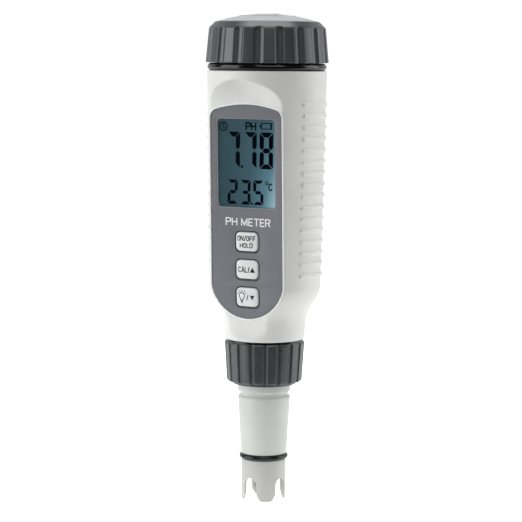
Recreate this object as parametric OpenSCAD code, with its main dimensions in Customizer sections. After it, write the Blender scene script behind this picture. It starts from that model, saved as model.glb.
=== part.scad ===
// Pen pH meter with a screw-on electrode and a screw-on battery cap.
// Origin: centre of the plane through the guard tips. +Z runs up the pen, the display faces -Y.
// Directions around the pen are turn angles from the display side (-Y) towards +X.

/* [Housing] */
// Radius of the housing at its top edge
body_top_r = 19.5; // [19.4:0.1:19.6]
// Radius of the housing just above the shoulder
body_low_r = 18.1; // [18.0:0.1:18.3]
// Wall thickness of the round housing wall
wall = 1.8; // [1.7:0.1:1.9]

/* [Display face] */
// Lean of the flat display face, in degrees
face_tilt = 1.98; // [1.8:0.02:2.1]
// Width of the display window
window_w = 20.8; // [18:0.2:21]
// Height of the display window
window_h = 28.2; // [24:0.2:28.4]

/* [Keys] */
// Width of a key
key_w = 8; // [7:0.1:8.2]
// Height of a key
key_h = 6.1; // [5:0.1:6.3]
// Distance from key to key
key_pitch = 9; // [9:0.1:9.1]
// Gap around a key
key_gap = 0.35; // [0.2:0.05:0.4]

/* [Grip ribs] */
// Number of ribs on each side
rib_count = 16; // [8:1:16]
// Distance from rib to rib
rib_pitch = 3.667; // [3:0.001:3.667]
// Angle that a rib covers
rib_arc = 48; // [30:1:50]

/* [Screw caps] */
// Radius of the battery cap at its lower edge
cap_r = 20; // [19.9:0.1:20.2]
// Number of flutes on the battery cap and on the collar nut
flutes = 18; // [12:1:20]
// Depth of the battery cap's flutes
cap_flute_d = 0.8; // [0.4:0.1:0.9]
// Depth of the collar nut's flutes
collar_flute_d = 0.6; // [0.3:0.1:0.6]

/* [Electrode] */
// Outer radius of the guard
guard_r = 7.3; // [7.2:0.05:7.35]
// Width of a slot in the guard
slot_w = 4.7; // [4:0.1:5]
// Height of a slot in the guard
slot_h = 7.65; // [6:0.05:8]
// Radius of the glass bulb
bulb_r = 3; // [2.6:0.1:3.1]

/* [Batteries] */
// Diameter of an AAA cell
cell_d = 10.3; // [10:0.1:10.4]
// Length of an AAA cell over its terminal
cell_l = 44.5; // [44:0.1:44.5]

/* [Hidden] */
$fn = 96;

// Electrode heights
slot_top_r = slot_w / 2;
guard_top = 13.6;
guard_wall_z = slot_h + 0.15;
barrel_z0 = 15.4;
barrel_r = 8.55;
groove_r = 7.8;
flange_z = 41.35;
stem_r = 8.9;
stem_top = 48.8;
plug_top = 51.8;
bulb_z = 2 + bulb_r;
side_r = 4.75;
junction_turn = 126.6;
probe_turn = 206.5;
probe_r = 1;
prong_turn = 36.6;
slot_turn = prong_turn - 45;
pin_r = 0.5;
pin_spots = [[0, 0], [4.4, 90], [4.6, 190], [4.6, 223], [4.6, 340]];

// Collar nut heights
collar_z0 = 38.5;
collar_z1 = 53.2;
collar_low_r = 12.26;
collar_top_r = 13.1;
collar_bore_r = 10.9;
collar_foot_r = 10.3;
collar_foot_z = 39.45;
collar_rim_r = 12.3;
collar_rim_z = 52.85;

// Housing heights
spigot_r = 10.5;
spigot_bore_r = 9.2;
spigot_z0 = 42.9;
body_z0 = 53.4;
curve_z0 = 59;
curve_z1 = 71;
body_z1 = 140.66;
neck_r0 = 13.05;
curve_r0 = 13.45;
shelf_z0 = 52.6;
shelf_z1 = 55.2;
neck_r = 16.9;
neck_bore_r = 15.8;
neck_z1 = 150.6;
seat_z = 137.2;
seat_r = 17.75;

// Display face: a flat cut that leans outwards towards the top, with scoops at both ends
face_z = 100;
face_d = 12.9;
face_wall = 1.9;
scoop_top_z = 131.5;
scoop_top_r = 7.2;
scoop_low_z = 58;
scoop_low_r = 4.5;
recess = 0.65;
overlay_half_w = 13.15;
overlay_top_z = 130;
overlay_low_z = 60.8;
overlay_top_r = 39;
overlay_low_r = 13.6;
overlay_corner_r = 3;
overlay_hip_r = 6;
window_z = 111.1;
window_corner = 1.2;
key_corner = 1.5;
key_z = [85.9, 85.9 - key_pitch, 85.9 - 2 * key_pitch];
key_proud = 0.45;
pcb_front = 4.6;
pcb_back = 5.4;
pcb_x = 12.3;
pcb_foot_x = 8.5;
screw_x = 11.4;
screw_z = [93.9, 128.2];

// Grip ribs
rib_top_z = 130.05;
rib_proud = 0.5;

// Battery cap heights
cap_z0 = 143.2;
cap_z1 = 159;
cap_bore_r = 17.3;
cap_deck_z = 151.6;
dome_seat_z = 153.2;
dome_seat_r = 14.5;
dome_edge_r = 16.7;
dome_edge_z = 156.45;
dome_r = (pow(dome_edge_r, 2) + pow(cap_z1 - dome_edge_z, 2)) / (2 * (cap_z1 - dome_edge_z));
flute_r = 2.2;
flute_turn = 0.65;

// Batteries and their contacts
cell_r = cell_d / 2;
cell_ring_r = 10.3;
cell_step = 63.9;
cell_z = 100;
cell_bore_r = 5.25;
tray_z0 = 97;
tray_floor = 98.6;
tray_z1 = 142;
tray_r = 14.2;
tray_front = 7;
plate_z0 = 147.3;
plate_z1 = 148.8;
strip_t = 0.3;
pad_r = 2.4;
strip_z = plate_z0 - strip_t - 0.02;
cell_top = cell_z + cell_l + 0.04;

// Points of an arc about (cx, cy)
function arc(cx, cy, r, a0, a1, n) = [
  for (i = [0:n]) let (a = a0 + (a1 - a0) * i / n) [cx + r * cos(a), cy + r * sin(a)]];

// Outer radius of the housing at height z: neck, S-shaped shoulder, then a straight taper
function shoulder(t) = (1 - cos(180 * t)) / 2;
function body_r(z) = z < curve_z0 ? neck_r0 + (curve_r0 - neck_r0) * (z - body_z0) / (curve_z0 - body_z0)
  : z < curve_z1 ? curve_r0 + (body_low_r - curve_r0) * shoulder((z - curve_z0) / (curve_z1 - curve_z0))
  : body_low_r + (body_top_r - body_low_r) * (z - curve_z1) / (body_z1 - curve_z1);

// Height on the leaning display face for a height z on the axis
function up(z) = (z - face_z) / cos(face_tilt);

// Height of the cap's domed top at radius r
function dome_z(r) = cap_z1 - dome_r + sqrt(pow(dome_r, 2) - pow(r, 2));

// Centre of a battery in the row around the back
function cell_xy(k) = let (a = (k - 1.5) * cell_step) [cell_ring_r * sin(a), cell_ring_r * cos(a)];

// Puts children at a turn angle, measured from -Y towards +X
module at_turn(a, r = 0, z = 0) {
  rotate([0, 0, a - 90]) translate([r, 0, z]) children();
}

// Frame of the display face: x across, z up the face, y into the pen
module face() {
  translate([0, -face_d, face_z]) rotate([face_tilt, 0, 0]) children();
}

// Plate parallel to the display face, between two depths below it
module slab(depth0, depth1) {
  face() translate([0, depth1, 0]) rotate([90, 0, 0]) linear_extrude(depth1 - depth0) children();
}

// Pin or hole square to the display face
module face_pin(x, z, depth0, depth1, r) {
  face() translate([x, depth0, up(z)]) rotate([-90, 0, 0]) cylinder(h = depth1 - depth0, r = r);
}

// Rounded rectangle centred at height z on the face
module face_rect(w, h, corner, z) {
  x = w / 2 - corner;
  y = h / 2 - corner;
  translate([0, up(z)]) polygon(concat(
    arc(x, y, corner, 0, 90, 6), arc(-x, y, corner, 90, 180, 6),
    arc(-x, -y, corner, 180, 270, 6), arc(x, -y, corner, 270, 360, 6)));
}

// Everything in front of the display face, moved in by depth, with a scoop at each end
module face_cut(depth) {
  face() rotate([90, 0, 90]) linear_extrude(60, center = true) {
    translate([-30, up(scoop_low_z)]) square([30 + depth, up(scoop_top_z) - up(scoop_low_z)]);
    translate([-scoop_top_r, up(scoop_top_z)]) circle(scoop_top_r + depth);
    translate([-scoop_low_r, up(scoop_low_z)]) circle(scoop_low_r + depth);
  }
}

// Outline of the label: arched top, straight sides, round bottom
module overlay_outline(grow) {
  w = overlay_half_w;
  top_y = up(overlay_top_z) - overlay_top_r;
  low_y = up(overlay_low_z) + overlay_low_r;
  corner_x = w - overlay_corner_r;
  corner_a = acos(corner_x / (overlay_top_r - overlay_corner_r));
  corner_y = top_y + (overlay_top_r - overlay_corner_r) * sin(corner_a);
  hip_x = w - overlay_hip_r;
  hip_a = acos(hip_x / (overlay_low_r - overlay_hip_r));
  hip_y = low_y - (overlay_low_r - overlay_hip_r) * sin(hip_a);
  polygon(concat(
    arc(corner_x, corner_y, overlay_corner_r + grow, 0, corner_a, 5),
    arc(0, top_y, overlay_top_r + grow, corner_a, 180 - corner_a, 12),
    arc(-corner_x, corner_y, overlay_corner_r + grow, 180 - corner_a, 180, 5),
    arc(-hip_x, hip_y, overlay_hip_r + grow, 180, 180 + hip_a, 3),
    arc(0, low_y, overlay_low_r + grow, 180 + hip_a, 360 - hip_a, 16),
    arc(hip_x, hip_y, overlay_hip_r + grow, 360 - hip_a, 360, 3)));
}

// Key cut-outs, as seen on the face
module key_holes() {
  for (z = key_z) face_rect(key_w + 2 * key_gap, key_h + 2 * key_gap, key_corner + key_gap, z);
}

// Ring with a rectangular section
module ring(r0, r1, z0, z1) {
  rotate_extrude() translate([r0, z0]) square([r1 - r0, z1 - z0]);
}

// Seal ring with a round section of radius section
module oring(r, section, z) {
  rotate_extrude() translate([r, z]) circle(section, $fn = 24);
}

// Round bar between two points
module bar(p, q, r) {
  d = q - p;
  translate(p) rotate([0, acos(d[2] / norm(d)), atan2(d[1], d[0])]) cylinder(h = norm(d), r = r);
}

// Round-ended cutter for one flute
module flute_tool(r, h) {
  rotate_extrude($fn = 48) {
    intersection() {
      translate([0, h]) circle(r);
      square([r + 1, h + r + 1]);
    }
    square([r, h]);
  }
}

// One grip rib along the round wall at height z
module rib(z) {
  r = body_r(z);
  top = r + rib_proud;
  section = [[r - 0.3, -0.85], [r + 0.05, -0.85], [top, -0.4], [top, 0.4], [r + 0.05, 0.85], [r - 0.3, 0.85]];
  rotate([0, 0, -rib_arc / 2]) translate([0, 0, z]) rotate_extrude(angle = rib_arc) polygon(section);
}

module housing_solid() {
  curve = [for (i = [0:12]) let (z = curve_z0 + (curve_z1 - curve_z0) * i / 12) [body_r(z), z]];
  rotate_extrude() polygon(concat(
    [[0, body_z0], [neck_r0 - 0.3, body_z0], [neck_r0, body_z0 + 0.3]], curve,
    [[body_top_r, body_z1 - 0.4], [body_top_r - 0.4, body_z1], [0, body_z1]]));
}

module housing_cavity() {
  curve = [for (i = [0:12]) let (z = curve_z0 + (curve_z1 - curve_z0) * i / 12) [body_r(z) - wall, z]];
  rotate_extrude() polygon(concat(
    [[0, shelf_z1], [curve_r0 - wall, shelf_z1]], curve,
    [[body_top_r - wall, body_z1 + 1], [0, body_z1 + 1]]));
}

module housing() {
  color("gainsboro") {
    difference() {
      union() {
        difference() {
          housing_solid();
          face_cut(0);
        }
        for (side = [0, 180], i = [0:rib_count - 1]) rotate([0, 0, side]) rib(rib_top_z - i * rib_pitch);
        translate([0, 0, spigot_z0]) cylinder(h = body_z0 - spigot_z0 + 1, r = spigot_r);
      }
      difference() {
        housing_cavity();
        face_cut(face_wall);
      }
      translate([0, 0, seat_z]) cylinder(h = 10, r = seat_r);
      translate([0, 0, spigot_z0 - 1]) cylinder(h = shelf_z0 - spigot_z0 + 1, r = spigot_bore_r);
      translate([0, 0, shelf_z0 - 1]) cylinder(h = 5, r = 6.2);
      for (x = [-7.7, 7.7]) translate([x, 0, 53.2]) cylinder(h = 3, r = 0.82);
      slab(-1, recess) overlay_outline(0);
      slab(-1, 3) face_rect(window_w + 1, window_h + 1, window_corner + 0.5, window_z);
      slab(-1, 3) key_holes();
    }
    for (a = [90, 140, 220, 270]) at_turn(a, 13.2, 73) translate([0, -0.75, 0]) cube([4, 1.5, 23.95]);
  }
}

module neck_ring() {
  color("silver") difference() {
    union() {
      translate([0, 0, seat_z]) cylinder(h = body_z1 - seat_z - 0.04, r = seat_r - 0.02);
      translate([0, 0, seat_z]) cylinder(h = neck_z1 - seat_z, r = neck_r);
    }
    translate([0, 0, seat_z - 1]) cylinder(h = 20, r = neck_bore_r);
    face_cut(face_wall + 0.1);
    for (x = [-1, 1]) translate([x * 15.7 - 0.75, -1.2, 145.5]) cube([1.5, 2.4, 10]);
  }
}

module front_overlay() {
  color("dimgray") slab(0.1, recess) difference() {
    overlay_outline(-0.05);
    face_rect(window_w, window_h, window_corner, window_z);
    key_holes();
  }
}

module display_window() {
  color("slategray") {
    slab(0.16, recess + 0.05)
      face_rect(window_w - 0.2, window_h - 0.2, window_corner, window_z);
    slab(recess + 0.01, face_wall - 0.05)
      face_rect(window_w + 0.8, window_h + 0.8, window_corner + 0.4, window_z);
  }
}

// Seal between the battery cap and the housing
module cap_oring() {
  color("black") oring(18.15, 1.2, 141.9);
}

module lcd_glass() {
  color("cadetblue") {
    slab(2, 2.75) face_rect(21.6, 31, 0.3, window_z);
    slab(2.7, 3.5) face_rect(21.6, 27.4, 0.3, window_z);
  }
}

module lcd_backlight() {
  color("white") slab(3.55, 4.55) face_rect(21.2, 27.2, 0.5, window_z);
}

module lcd_frame() {
  color("whitesmoke") difference() {
    slab(1.95, 4.55) face_rect(24.6, 37.4, 0.6, window_z);
    slab(1, 5) face_rect(21.9, 31.3, 0.3, window_z);
    for (x = [-screw_x, screw_x], z = screw_z) face_pin(x, z, 2.7, 5, 0.64);
  }
}

module zebra_strips() {
  color("hotpink") for (z = [96.5, 125.7]) slab(2.8, 4.55) face_rect(19, 1.4, 0.1, z);
}

module main_pcb() {
  color("darkgreen") difference() {
    slab(pcb_front, pcb_back) polygon([
      [-pcb_foot_x, up(63.9)], [pcb_foot_x, up(63.9)], [pcb_x, up(68.2)],
      [pcb_x, up(130)], [-pcb_x, up(130)], [-pcb_x, up(68.2)]]);
    for (x = [-screw_x, screw_x], z = screw_z) face_pin(x, z, 4, 6, 0.75);
  }
}

// Chips, crystal, capacitors and the cable's connector on the back of the board
module pcb_parts() {
  color("black") {
    slab(pcb_back, 6.6) face_rect(9, 9, 0.3, 84);
    slab(pcb_back, 6.7) translate([-6.5, 0]) face_rect(4, 5, 0.2, 75.5);
    slab(pcb_back, 6.7) translate([6.5, 0]) face_rect(4, 5, 0.2, 75.5);
    slab(pcb_back, 6.4) translate([8.6, 0]) face_rect(2.4, 6, 0.6, 84);
    face_pin(-8.8, 84, pcb_back, 8.4, 2.1);
    slab(pcb_back, 6.1) face_rect(8, 2.4, 0.2, 69.6);
    for (x = [-9, -5, 5, 9]) slab(pcb_back, 6) translate([x, 0]) face_rect(2, 1.2, 0.1, 91.5);
  }
}

module pcb_screws() {
  color("silver") for (x = [-screw_x, screw_x], z = screw_z) {
    face_pin(x, z, 2.8, 5.5, 0.62);
    face_pin(x, z, pcb_back + 0.02, 6.2, 1.2);
  }
}

module keypad_mat() {
  color("gray") difference() {
    slab(3.5, 4.55) face_rect(17, 27, 1, 77.6);
    for (z = key_z) face_pin(0, z, 3, 5, 2.4);
  }
}

module battery_tray() {
  color("dimgray") {
    difference() {
      union() {
        translate([0, 0, tray_z0]) cylinder(h = tray_floor - tray_z0, r = 15.4);
        translate([0, 0, tray_z0]) cylinder(h = tray_z1 - tray_z0, r = tray_r);
      }
      translate([-30, -30 - tray_front, 90]) cube([60, 30, 60]);
      translate([0, 0, 90]) cylinder(h = 60, r = 3);
      for (k = [0:3]) translate(concat(cell_xy(k), tray_floor)) cylinder(h = 60, r = cell_bore_r);
      translate([-6, cell_xy(1)[1] - 1.6, tray_floor]) cube([12, 3.2, 0.4]);
      for (k = [0, 3]) translate([cell_xy(k)[0] - 1.1, -9, tray_floor]) cube([2.2, 6, 0.4]);
    }
    for (x = [-4.5, 4.5]) translate([x - 1, -tray_front - 0.42, 104]) cube([2, 1, 30]);
  }
}

// AAA cell between its two contacts; flip turns the terminal down
module battery(k, flip) {
  can = cell_l - 0.9;
  translate(concat(cell_xy(k), cell_z)) {
    translate([0, 0, flip ? cell_l : 0]) mirror([0, 0, flip ? 1 : 0]) {
      cylinder(h = can, r = cell_r);
      translate([0, 0, can - 0.1]) cylinder(h = cell_l - can + 0.1, r = 1.9);
    }
  }
}

module battery_1() { color("goldenrod") battery(0, false); }
module battery_2() { color("goldenrod") battery(1, true); }
module battery_3() { color("goldenrod") battery(2, false); }
module battery_4() { color("goldenrod") battery(3, true); }

// Flat contacts in the tray's floor, with pads for the terminals and tabs to the board
module lower_contacts() {
  color("gold") {
    for (k = [0:3]) translate(concat(cell_xy(k), tray_floor + 0.02)) cylinder(h = strip_t, r = 4.4);
    for (k = [1, 3]) translate(concat(cell_xy(k), tray_floor + 0.1))
      cylinder(h = cell_z - tray_floor - 0.12, r = pad_r);
    translate([-5.5, cell_xy(1)[1] - 1.5, tray_floor + 0.02]) cube([11, 3, strip_t]);
    for (k = [0, 3]) translate([cell_xy(k)[0] - 1, -7.4, tray_floor + 0.02]) cube([2, 4, strip_t]);
  }
}

// Conical contact spring, shown as the closed cone that its coils fill
module spring_cone(h) {
  rotate_extrude() polygon([[3.4, 0], [4, 0], [2.8, h], [2.2, h]]);
}

module lower_springs() {
  color("silver") for (k = [0, 2]) translate(concat(cell_xy(k), tray_floor + 0.34)) spring_cone(1.04);
}

module electrode_socket() {
  color("black") difference() {
    union() {
      translate([0, 0, 52]) cylinder(h = 9.5, r = 6);
      translate([0, 0, 55.5]) cylinder(h = 1.8, r = 9.3);
    }
    for (p = pin_spots) at_turn(p[1], p[0], 51) cylinder(h = 12, r = 0.95, $fn = 24);
    for (x = [-7.7, 7.7]) translate([x, 0, 55]) cylinder(h = 3, r = 0.9, $fn = 24);
  }
}

module socket_sleeves() {
  color("gold") for (p = pin_spots) at_turn(p[1], p[0]) ring(0.58, 0.92, 52.3, 62.3);
}

module socket_gasket() {
  color("black") ring(6.25, 6.8, shelf_z1 + 0.02, 55.48);
}

module socket_screws() {
  color("silver") for (x = [-7.7, 7.7]) translate([x, 0, 0]) {
    translate([0, 0, 53.3]) cylinder(h = 4.1, r = 0.8, $fn = 24);
    translate([0, 0, 57.32]) cylinder(h = 1.1, r = 1.35, $fn = 24);
  }
}

// Small board on the socket's tails and the flat cable that rises to the main board
module sensor_cable() {
  color("peru") {
    translate([0, 0, 62.34]) cylinder(h = 0.8, r = 5.7);
    translate([-3, -5.7, 62.9]) cube([6, 0.3, 7.6]);
    translate([-3, -5.7, 62.9]) cube([6, 2, 0.24]);
  }
}

module contact_plate() {
  color("darkgreen") difference() {
    union() {
      translate([0, 0, plate_z0]) cylinder(h = plate_z1 - plate_z0, r = 15.2);
      translate([-16.3, -1, plate_z0]) cube([32.6, 2, plate_z1 - plate_z0]);
    }
    translate([0, 0, 140]) cylinder(h = 20, r = 2.05);
  }
}

// Strips that join the cells in pairs, with pads for the terminals
module contact_strips() {
  color("gold") for (side = [-1, 1]) {
    front = cell_xy(side < 0 ? 0 : 3);
    back = cell_xy(side < 0 ? 1 : 2);
    pad = side < 0 ? front : back;
    hull() for (p = [front, back]) translate(concat(p, strip_z)) cylinder(h = strip_t, r = 3.9, $fn = 32);
    translate(concat(pad, cell_top)) cylinder(h = plate_z0 - 0.1 - cell_top, r = pad_r);
  }
}

module contact_springs() {
  seat = strip_z - 0.04;
  color("silver") for (k = [1, 3]) translate(concat(cell_xy(k), seat)) mirror([0, 0, 1])
    spring_cone(seat - cell_top);
}

module battery_cap() {
  lean = atan(1 / 10.7);
  tool_x = cap_r + flute_r - cap_flute_d + 0.2;
  color("dimgray") difference() {
    union() {
      rotate_extrude() polygon([
        [cap_bore_r, cap_z0], [cap_r - 0.3, cap_z0], [cap_r, cap_z0 + 0.3],
        [cap_r - 1, 154.2], [cap_r - 1.3, 154.65],
        [dome_edge_r + 0.25, 156.35], [dome_edge_r, dome_edge_z],
        [dome_seat_r, dome_z(dome_seat_r)], [dome_seat_r, dome_seat_z], [0, dome_seat_z],
        [0, cap_deck_z], [cap_bore_r, cap_deck_z]]);
      translate([0, 0, plate_z1 + 0.05]) cylinder(h = cap_deck_z - plate_z1, r = 4.2);
    }
    for (i = [0:flutes - 1]) at_turn(flute_turn + i * 360 / flutes, tool_x, 141)
      rotate([0, -lean, 0]) flute_tool(flute_r, 12.5);
    translate([0, 0, plate_z1 - 1]) cylinder(h = 4, r = 1.22);
  }
}

module cap_dome() {
  n = 10;
  r = dome_seat_r - 0.15;
  top = [for (i = [0:n]) [r * (1 - i / n), dome_z(r * (1 - i / n))]];
  under = [for (i = [0:n]) let (x = (r - 1.6) * i / n) [x, dome_z(x) - 1.6]];
  color("darkgray") rotate_extrude() polygon(concat(
    top, under, [[r - 1.6, dome_seat_z + 0.02], [r, dome_seat_z + 0.02]]));
}

module plate_screw() {
  color("silver") {
    translate([0, 0, plate_z0 - 1.4]) cylinder(h = 1.35, r = 3);
    translate([0, 0, plate_z0 - 0.1]) cylinder(h = plate_z1 - plate_z0 + 0.12, r = 2);
    translate([0, 0, plate_z1]) cylinder(h = 2.8, r = 1.2);
  }
}

module electrode_barrel() {
  color("lightgray") rotate_extrude() polygon([
    [6.35, barrel_z0], [7.35, barrel_z0], [7.5, barrel_z0 + 0.15],
    [barrel_r, 34.1], [8.42, 34.42], [8.1, 34.55], [groove_r, 34.8], [groove_r, 35.8],
    [8.1, 36], [8.6, 36.1], [8.7, 36.25], [8.7, flange_z], [10.6, flange_z], [10.6, 42.8], [stem_r, 42.8],
    [stem_r, 45.5], [7.75, 45.5], [7.75, 47.1], [stem_r, 47.1],
    [stem_r, stem_top], [6.95, stem_top], [6.95, 42.5], [6.35, 42.5]]);
}

// Cutter for one guard slot: flared at the tips and round at the top
module slot_tool() {
  w = slot_top_r;
  z = slot_h - slot_top_r;
  rotate([90, 0, 90]) linear_extrude(6) {
    polygon([[-w - 1.24, -0.05], [w + 1.24, -0.05], [w, 2.3], [w, z], [-w, z], [-w, 2.3]]);
    translate([0, z]) circle(slot_top_r);
  }
}

module sensor_guard() {
  color("silver") difference() {
    rotate_extrude() polygon([
      [6.45, 0], [6.9, 0], [guard_r - 0.1, 0.5], [guard_r, guard_wall_z], [guard_r, guard_top],
      [6.3, guard_top], [6.3, 19], [bulb_r + 0.2, 19], [bulb_r + 0.2, 9], [6.45, 9]]);
    for (i = [0:3]) at_turn(slot_turn + 90 * i, 4) slot_tool();
    at_turn(junction_turn, side_r, 8) cylinder(h = 12, r = 0.93, $fn = 24);
    at_turn(probe_turn, side_r, 8) cylinder(h = 12, r = probe_r + 0.03, $fn = 24);
  }
}

module lower_oring() {
  color("black") oring(7.2, 0.84, 14.5);
}

module stem_oring() {
  color("black") oring(8.44, 0.68, 46.3);
}

// Thin glass tube blown out to the bulb
module glass_electrode() {
  tube = 2.5;
  shell = 0.3;
  bore = tube - 0.5;
  outer_a = acos(tube / bulb_r);
  inner_a = acos(bore / (bulb_r - shell));
  color("lightblue") rotate_extrude() polygon(concat(
    arc(0, bulb_z, bulb_r, -90, outer_a, 14), [[tube, 40], [bore, 40]],
    arc(0, bulb_z, bulb_r - shell, inner_a, -90, 14)));
}

module silver_electrode() {
  color("silver") {
    translate([0, 0, 5]) cylinder(h = 7, r = 0.9, $fn = 24);
    translate([0, 0, 11]) cylinder(h = 32.1, r = 0.35, $fn = 24);
  }
}

module reference_electrode() {
  color("silver") at_turn(90, 4.4) {
    translate([0, 0, 22]) cylinder(h = 8, r = 1, $fn = 24);
    translate([0, 0, 29]) cylinder(h = 14.1, r = 0.35, $fn = 24);
  }
}

module ceramic_junction() {
  color("linen") at_turn(junction_turn, side_r, 8.4) cylinder(h = 12, r = 0.9, $fn = 24);
}

module temperature_probe() {
  color("lightsteelblue") at_turn(probe_turn, side_r) rotate_extrude($fn = 32) polygon(concat(
    arc(0, 3.5 + probe_r, probe_r, -90, 0, 6), [[probe_r, 21], [0, 21]]));
}

module temperature_leads() {
  color("red") for (i = [2, 3]) {
    a = probe_turn - 90;
    b = pin_spots[i][1] - 90;
    side = i == 2 ? -0.5 : 0.5;
    foot = [side_r * cos(a) - side * sin(a), side_r * sin(a) + side * cos(a), 21.02];
    bar(foot, [pin_spots[i][0] * cos(b), pin_spots[i][0] * sin(b), 43.1], 0.28, $fn = 16);
  }
}

module electrode_potting() {
  color("black") difference() {
    translate([0, 0, 36.5]) cylinder(h = 5, r = 6.3);
    translate([0, 0, 36]) cylinder(h = 6, r = 2.53);
    at_turn(90, 4.4, 36) cylinder(h = 6, r = 0.4, $fn = 24);
    at_turn(probe_turn, 4.7, 36) cylinder(h = 6, r = 2, $fn = 24);
  }
}

module electrode_plug() {
  color("dimgray") difference() {
    union() {
      translate([0, 0, 44.5]) cylinder(h = 5, r = 6.9);
      translate([0, 0, stem_top + 0.02]) cylinder(h = plug_top - stem_top - 0.02, r = 7.9);
    }
    for (p = pin_spots) at_turn(p[1], p[0], 44) cylinder(h = 9, r = pin_r + 0.02, $fn = 24);
  }
}

module plug_pins() {
  color("gold") for (p = pin_spots) at_turn(p[1], p[0], 43.2) cylinder(h = 14.6, r = pin_r, $fn = 24);
}

module collar_nut() {
  lean = atan((collar_top_r - collar_low_r) / (collar_z1 - collar_z0));
  tool_r = 1.05;
  tool_x = collar_low_r + tool_r - collar_flute_d;
  color("dimgray") difference() {
    rotate_extrude() polygon([
      [8.95, collar_z0], [collar_foot_r, collar_z0], [collar_foot_r, collar_foot_z],
      [collar_low_r - 0.5, collar_foot_z], [collar_low_r, collar_foot_z + 0.35],
      [collar_top_r, collar_rim_z - 0.25], [collar_top_r - 0.25, collar_rim_z],
      [collar_rim_r, collar_rim_z], [collar_rim_r, collar_z1], [collar_bore_r, collar_z1], [collar_bore_r, 41], [8.95, 41]]);
    for (i = [0:flutes - 1]) at_turn((i + 0.5) * 360 / flutes, tool_x, collar_z0 - 0.5)
      rotate([0, lean, 0]) cylinder(h = 17, r = tool_r, $fn = 32);
  }
}

module collar_washer() {
  color("ivory") ring(9.05, 10.6, 41.02, 41.32);
}

// Key cap with a flange behind the wall and a stem through the mat
module key_cap(z) {
  slab(-key_proud, 2) face_rect(key_w, key_h, key_corner, z);
  slab(face_wall + 0.05, 2.6) face_rect(key_w + 1.6, key_h + 1.6, key_corner + 0.8, z);
  face_pin(0, z, 2.5, 3.65, 1.6);
}

module key_pill(z) {
  face_pin(0, z, 3.67, 3.85, 1.5);
}

module key_power() { color("white") key_cap(key_z[0]); }
module key_cal() { color("white") key_cap(key_z[1]); }
module key_light() { color("white") key_cap(key_z[2]); }
module key_power_pill() { color("black") key_pill(key_z[0]); }
module key_cal_pill() { color("black") key_pill(key_z[1]); }
module key_light_pill() { color("black") key_pill(key_z[2]); }

housing();
neck_ring();
front_overlay();
display_window();
cap_oring();
lcd_glass();
lcd_backlight();
lcd_frame();
zebra_strips();
main_pcb();
pcb_parts();
pcb_screws();
keypad_mat();
battery_tray();
battery_1();
battery_2();
battery_3();
battery_4();
lower_contacts();
lower_springs();
electrode_socket();
socket_sleeves();
socket_gasket();
socket_screws();
sensor_cable();
contact_plate();
contact_strips();
contact_springs();
battery_cap();
cap_dome();
plate_screw();
electrode_barrel();
sensor_guard();
lower_oring();
stem_oring();
glass_electrode();
silver_electrode();
reference_electrode();
ceramic_junction();
temperature_probe();
temperature_leads();
electrode_potting();
electrode_plug();
plug_pins();
collar_nut();
collar_washer();
key_power();
key_cal();
key_light();
key_power_pill();
key_cal_pill();
key_light_pill();
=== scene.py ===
import math

import bmesh
import bpy
from mathutils import Matrix, Vector


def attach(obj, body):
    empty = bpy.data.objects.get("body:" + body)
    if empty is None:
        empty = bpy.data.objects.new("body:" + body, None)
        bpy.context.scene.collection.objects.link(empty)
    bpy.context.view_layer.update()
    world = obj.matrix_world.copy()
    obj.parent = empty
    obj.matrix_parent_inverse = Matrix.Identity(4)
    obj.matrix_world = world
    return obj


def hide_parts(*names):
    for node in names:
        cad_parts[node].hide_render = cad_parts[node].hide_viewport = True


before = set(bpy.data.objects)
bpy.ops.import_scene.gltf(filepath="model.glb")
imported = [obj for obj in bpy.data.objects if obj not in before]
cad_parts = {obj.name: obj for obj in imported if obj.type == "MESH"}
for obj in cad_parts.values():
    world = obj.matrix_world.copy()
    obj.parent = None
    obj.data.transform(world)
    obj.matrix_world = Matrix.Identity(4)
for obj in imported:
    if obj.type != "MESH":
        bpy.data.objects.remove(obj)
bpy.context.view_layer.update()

# Lengths in this script are millimetres, like the CAD source's; MM turns them into Blender's metres.
MM = 0.001

# ---------------------------------------------------------------- sizes shared with the CAD model

BODY_Z0, CURVE_Z0, CURVE_Z1, BODY_Z1 = 53.4, 59.0, 71.0, 140.66
NECK_R0, CURVE_R0, BODY_LOW_R, BODY_TOP_R = 13.05, 13.45, 18.1, 19.5
WALL = 1.8
SHELF_Z0, SHELF_Z1, SHELF_HOLE_R = 52.6, 55.2, 6.2
SPIGOT_R, SPIGOT_BORE_R, SPIGOT_Z0 = 10.5, 9.2, 42.9
SEAT_Z, SEAT_R = 137.2, 17.75

FACE_D, FACE_Z, FACE_WALL = 12.9, 100.0, 1.9
FACE_TILT = math.radians(1.98)
SCOOP_TOP_Z, SCOOP_TOP_R = 132.0, 6.0
SCOOP_LOW_Z, SCOOP_LOW_R = 58.0, 4.5
SCOOP_ARCH, SCOOP_ARCH_R = 0.26, 3.0
RECESS, FACE_FILLET = 0.65, 0.5
OVERLAY = {"half_w": 13.15, "top_z": 130.0, "low_z": 60.8, "top_r": 39.0, "low_r": 13.6,
           "corner_r": 3.0, "hip_r": 6.0}
WINDOW_W, WINDOW_H, WINDOW_Z, WINDOW_CORNER = 20.8, 28.2, 111.1, 1.2
KEY_W, KEY_H, KEY_CORNER, KEY_GAP, KEY_PROUD = 8.0, 6.1, 1.5, 0.35, 0.45
KEYS = {"key_power": 85.9, "key_cal": 76.9, "key_light": 67.9}

RIB_COUNT, RIB_PITCH, RIB_TOP_Z, RIB_HALF_ARC, RIB_PROUD = 16, 3.667, 130.05, 24.0, 0.5

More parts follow.
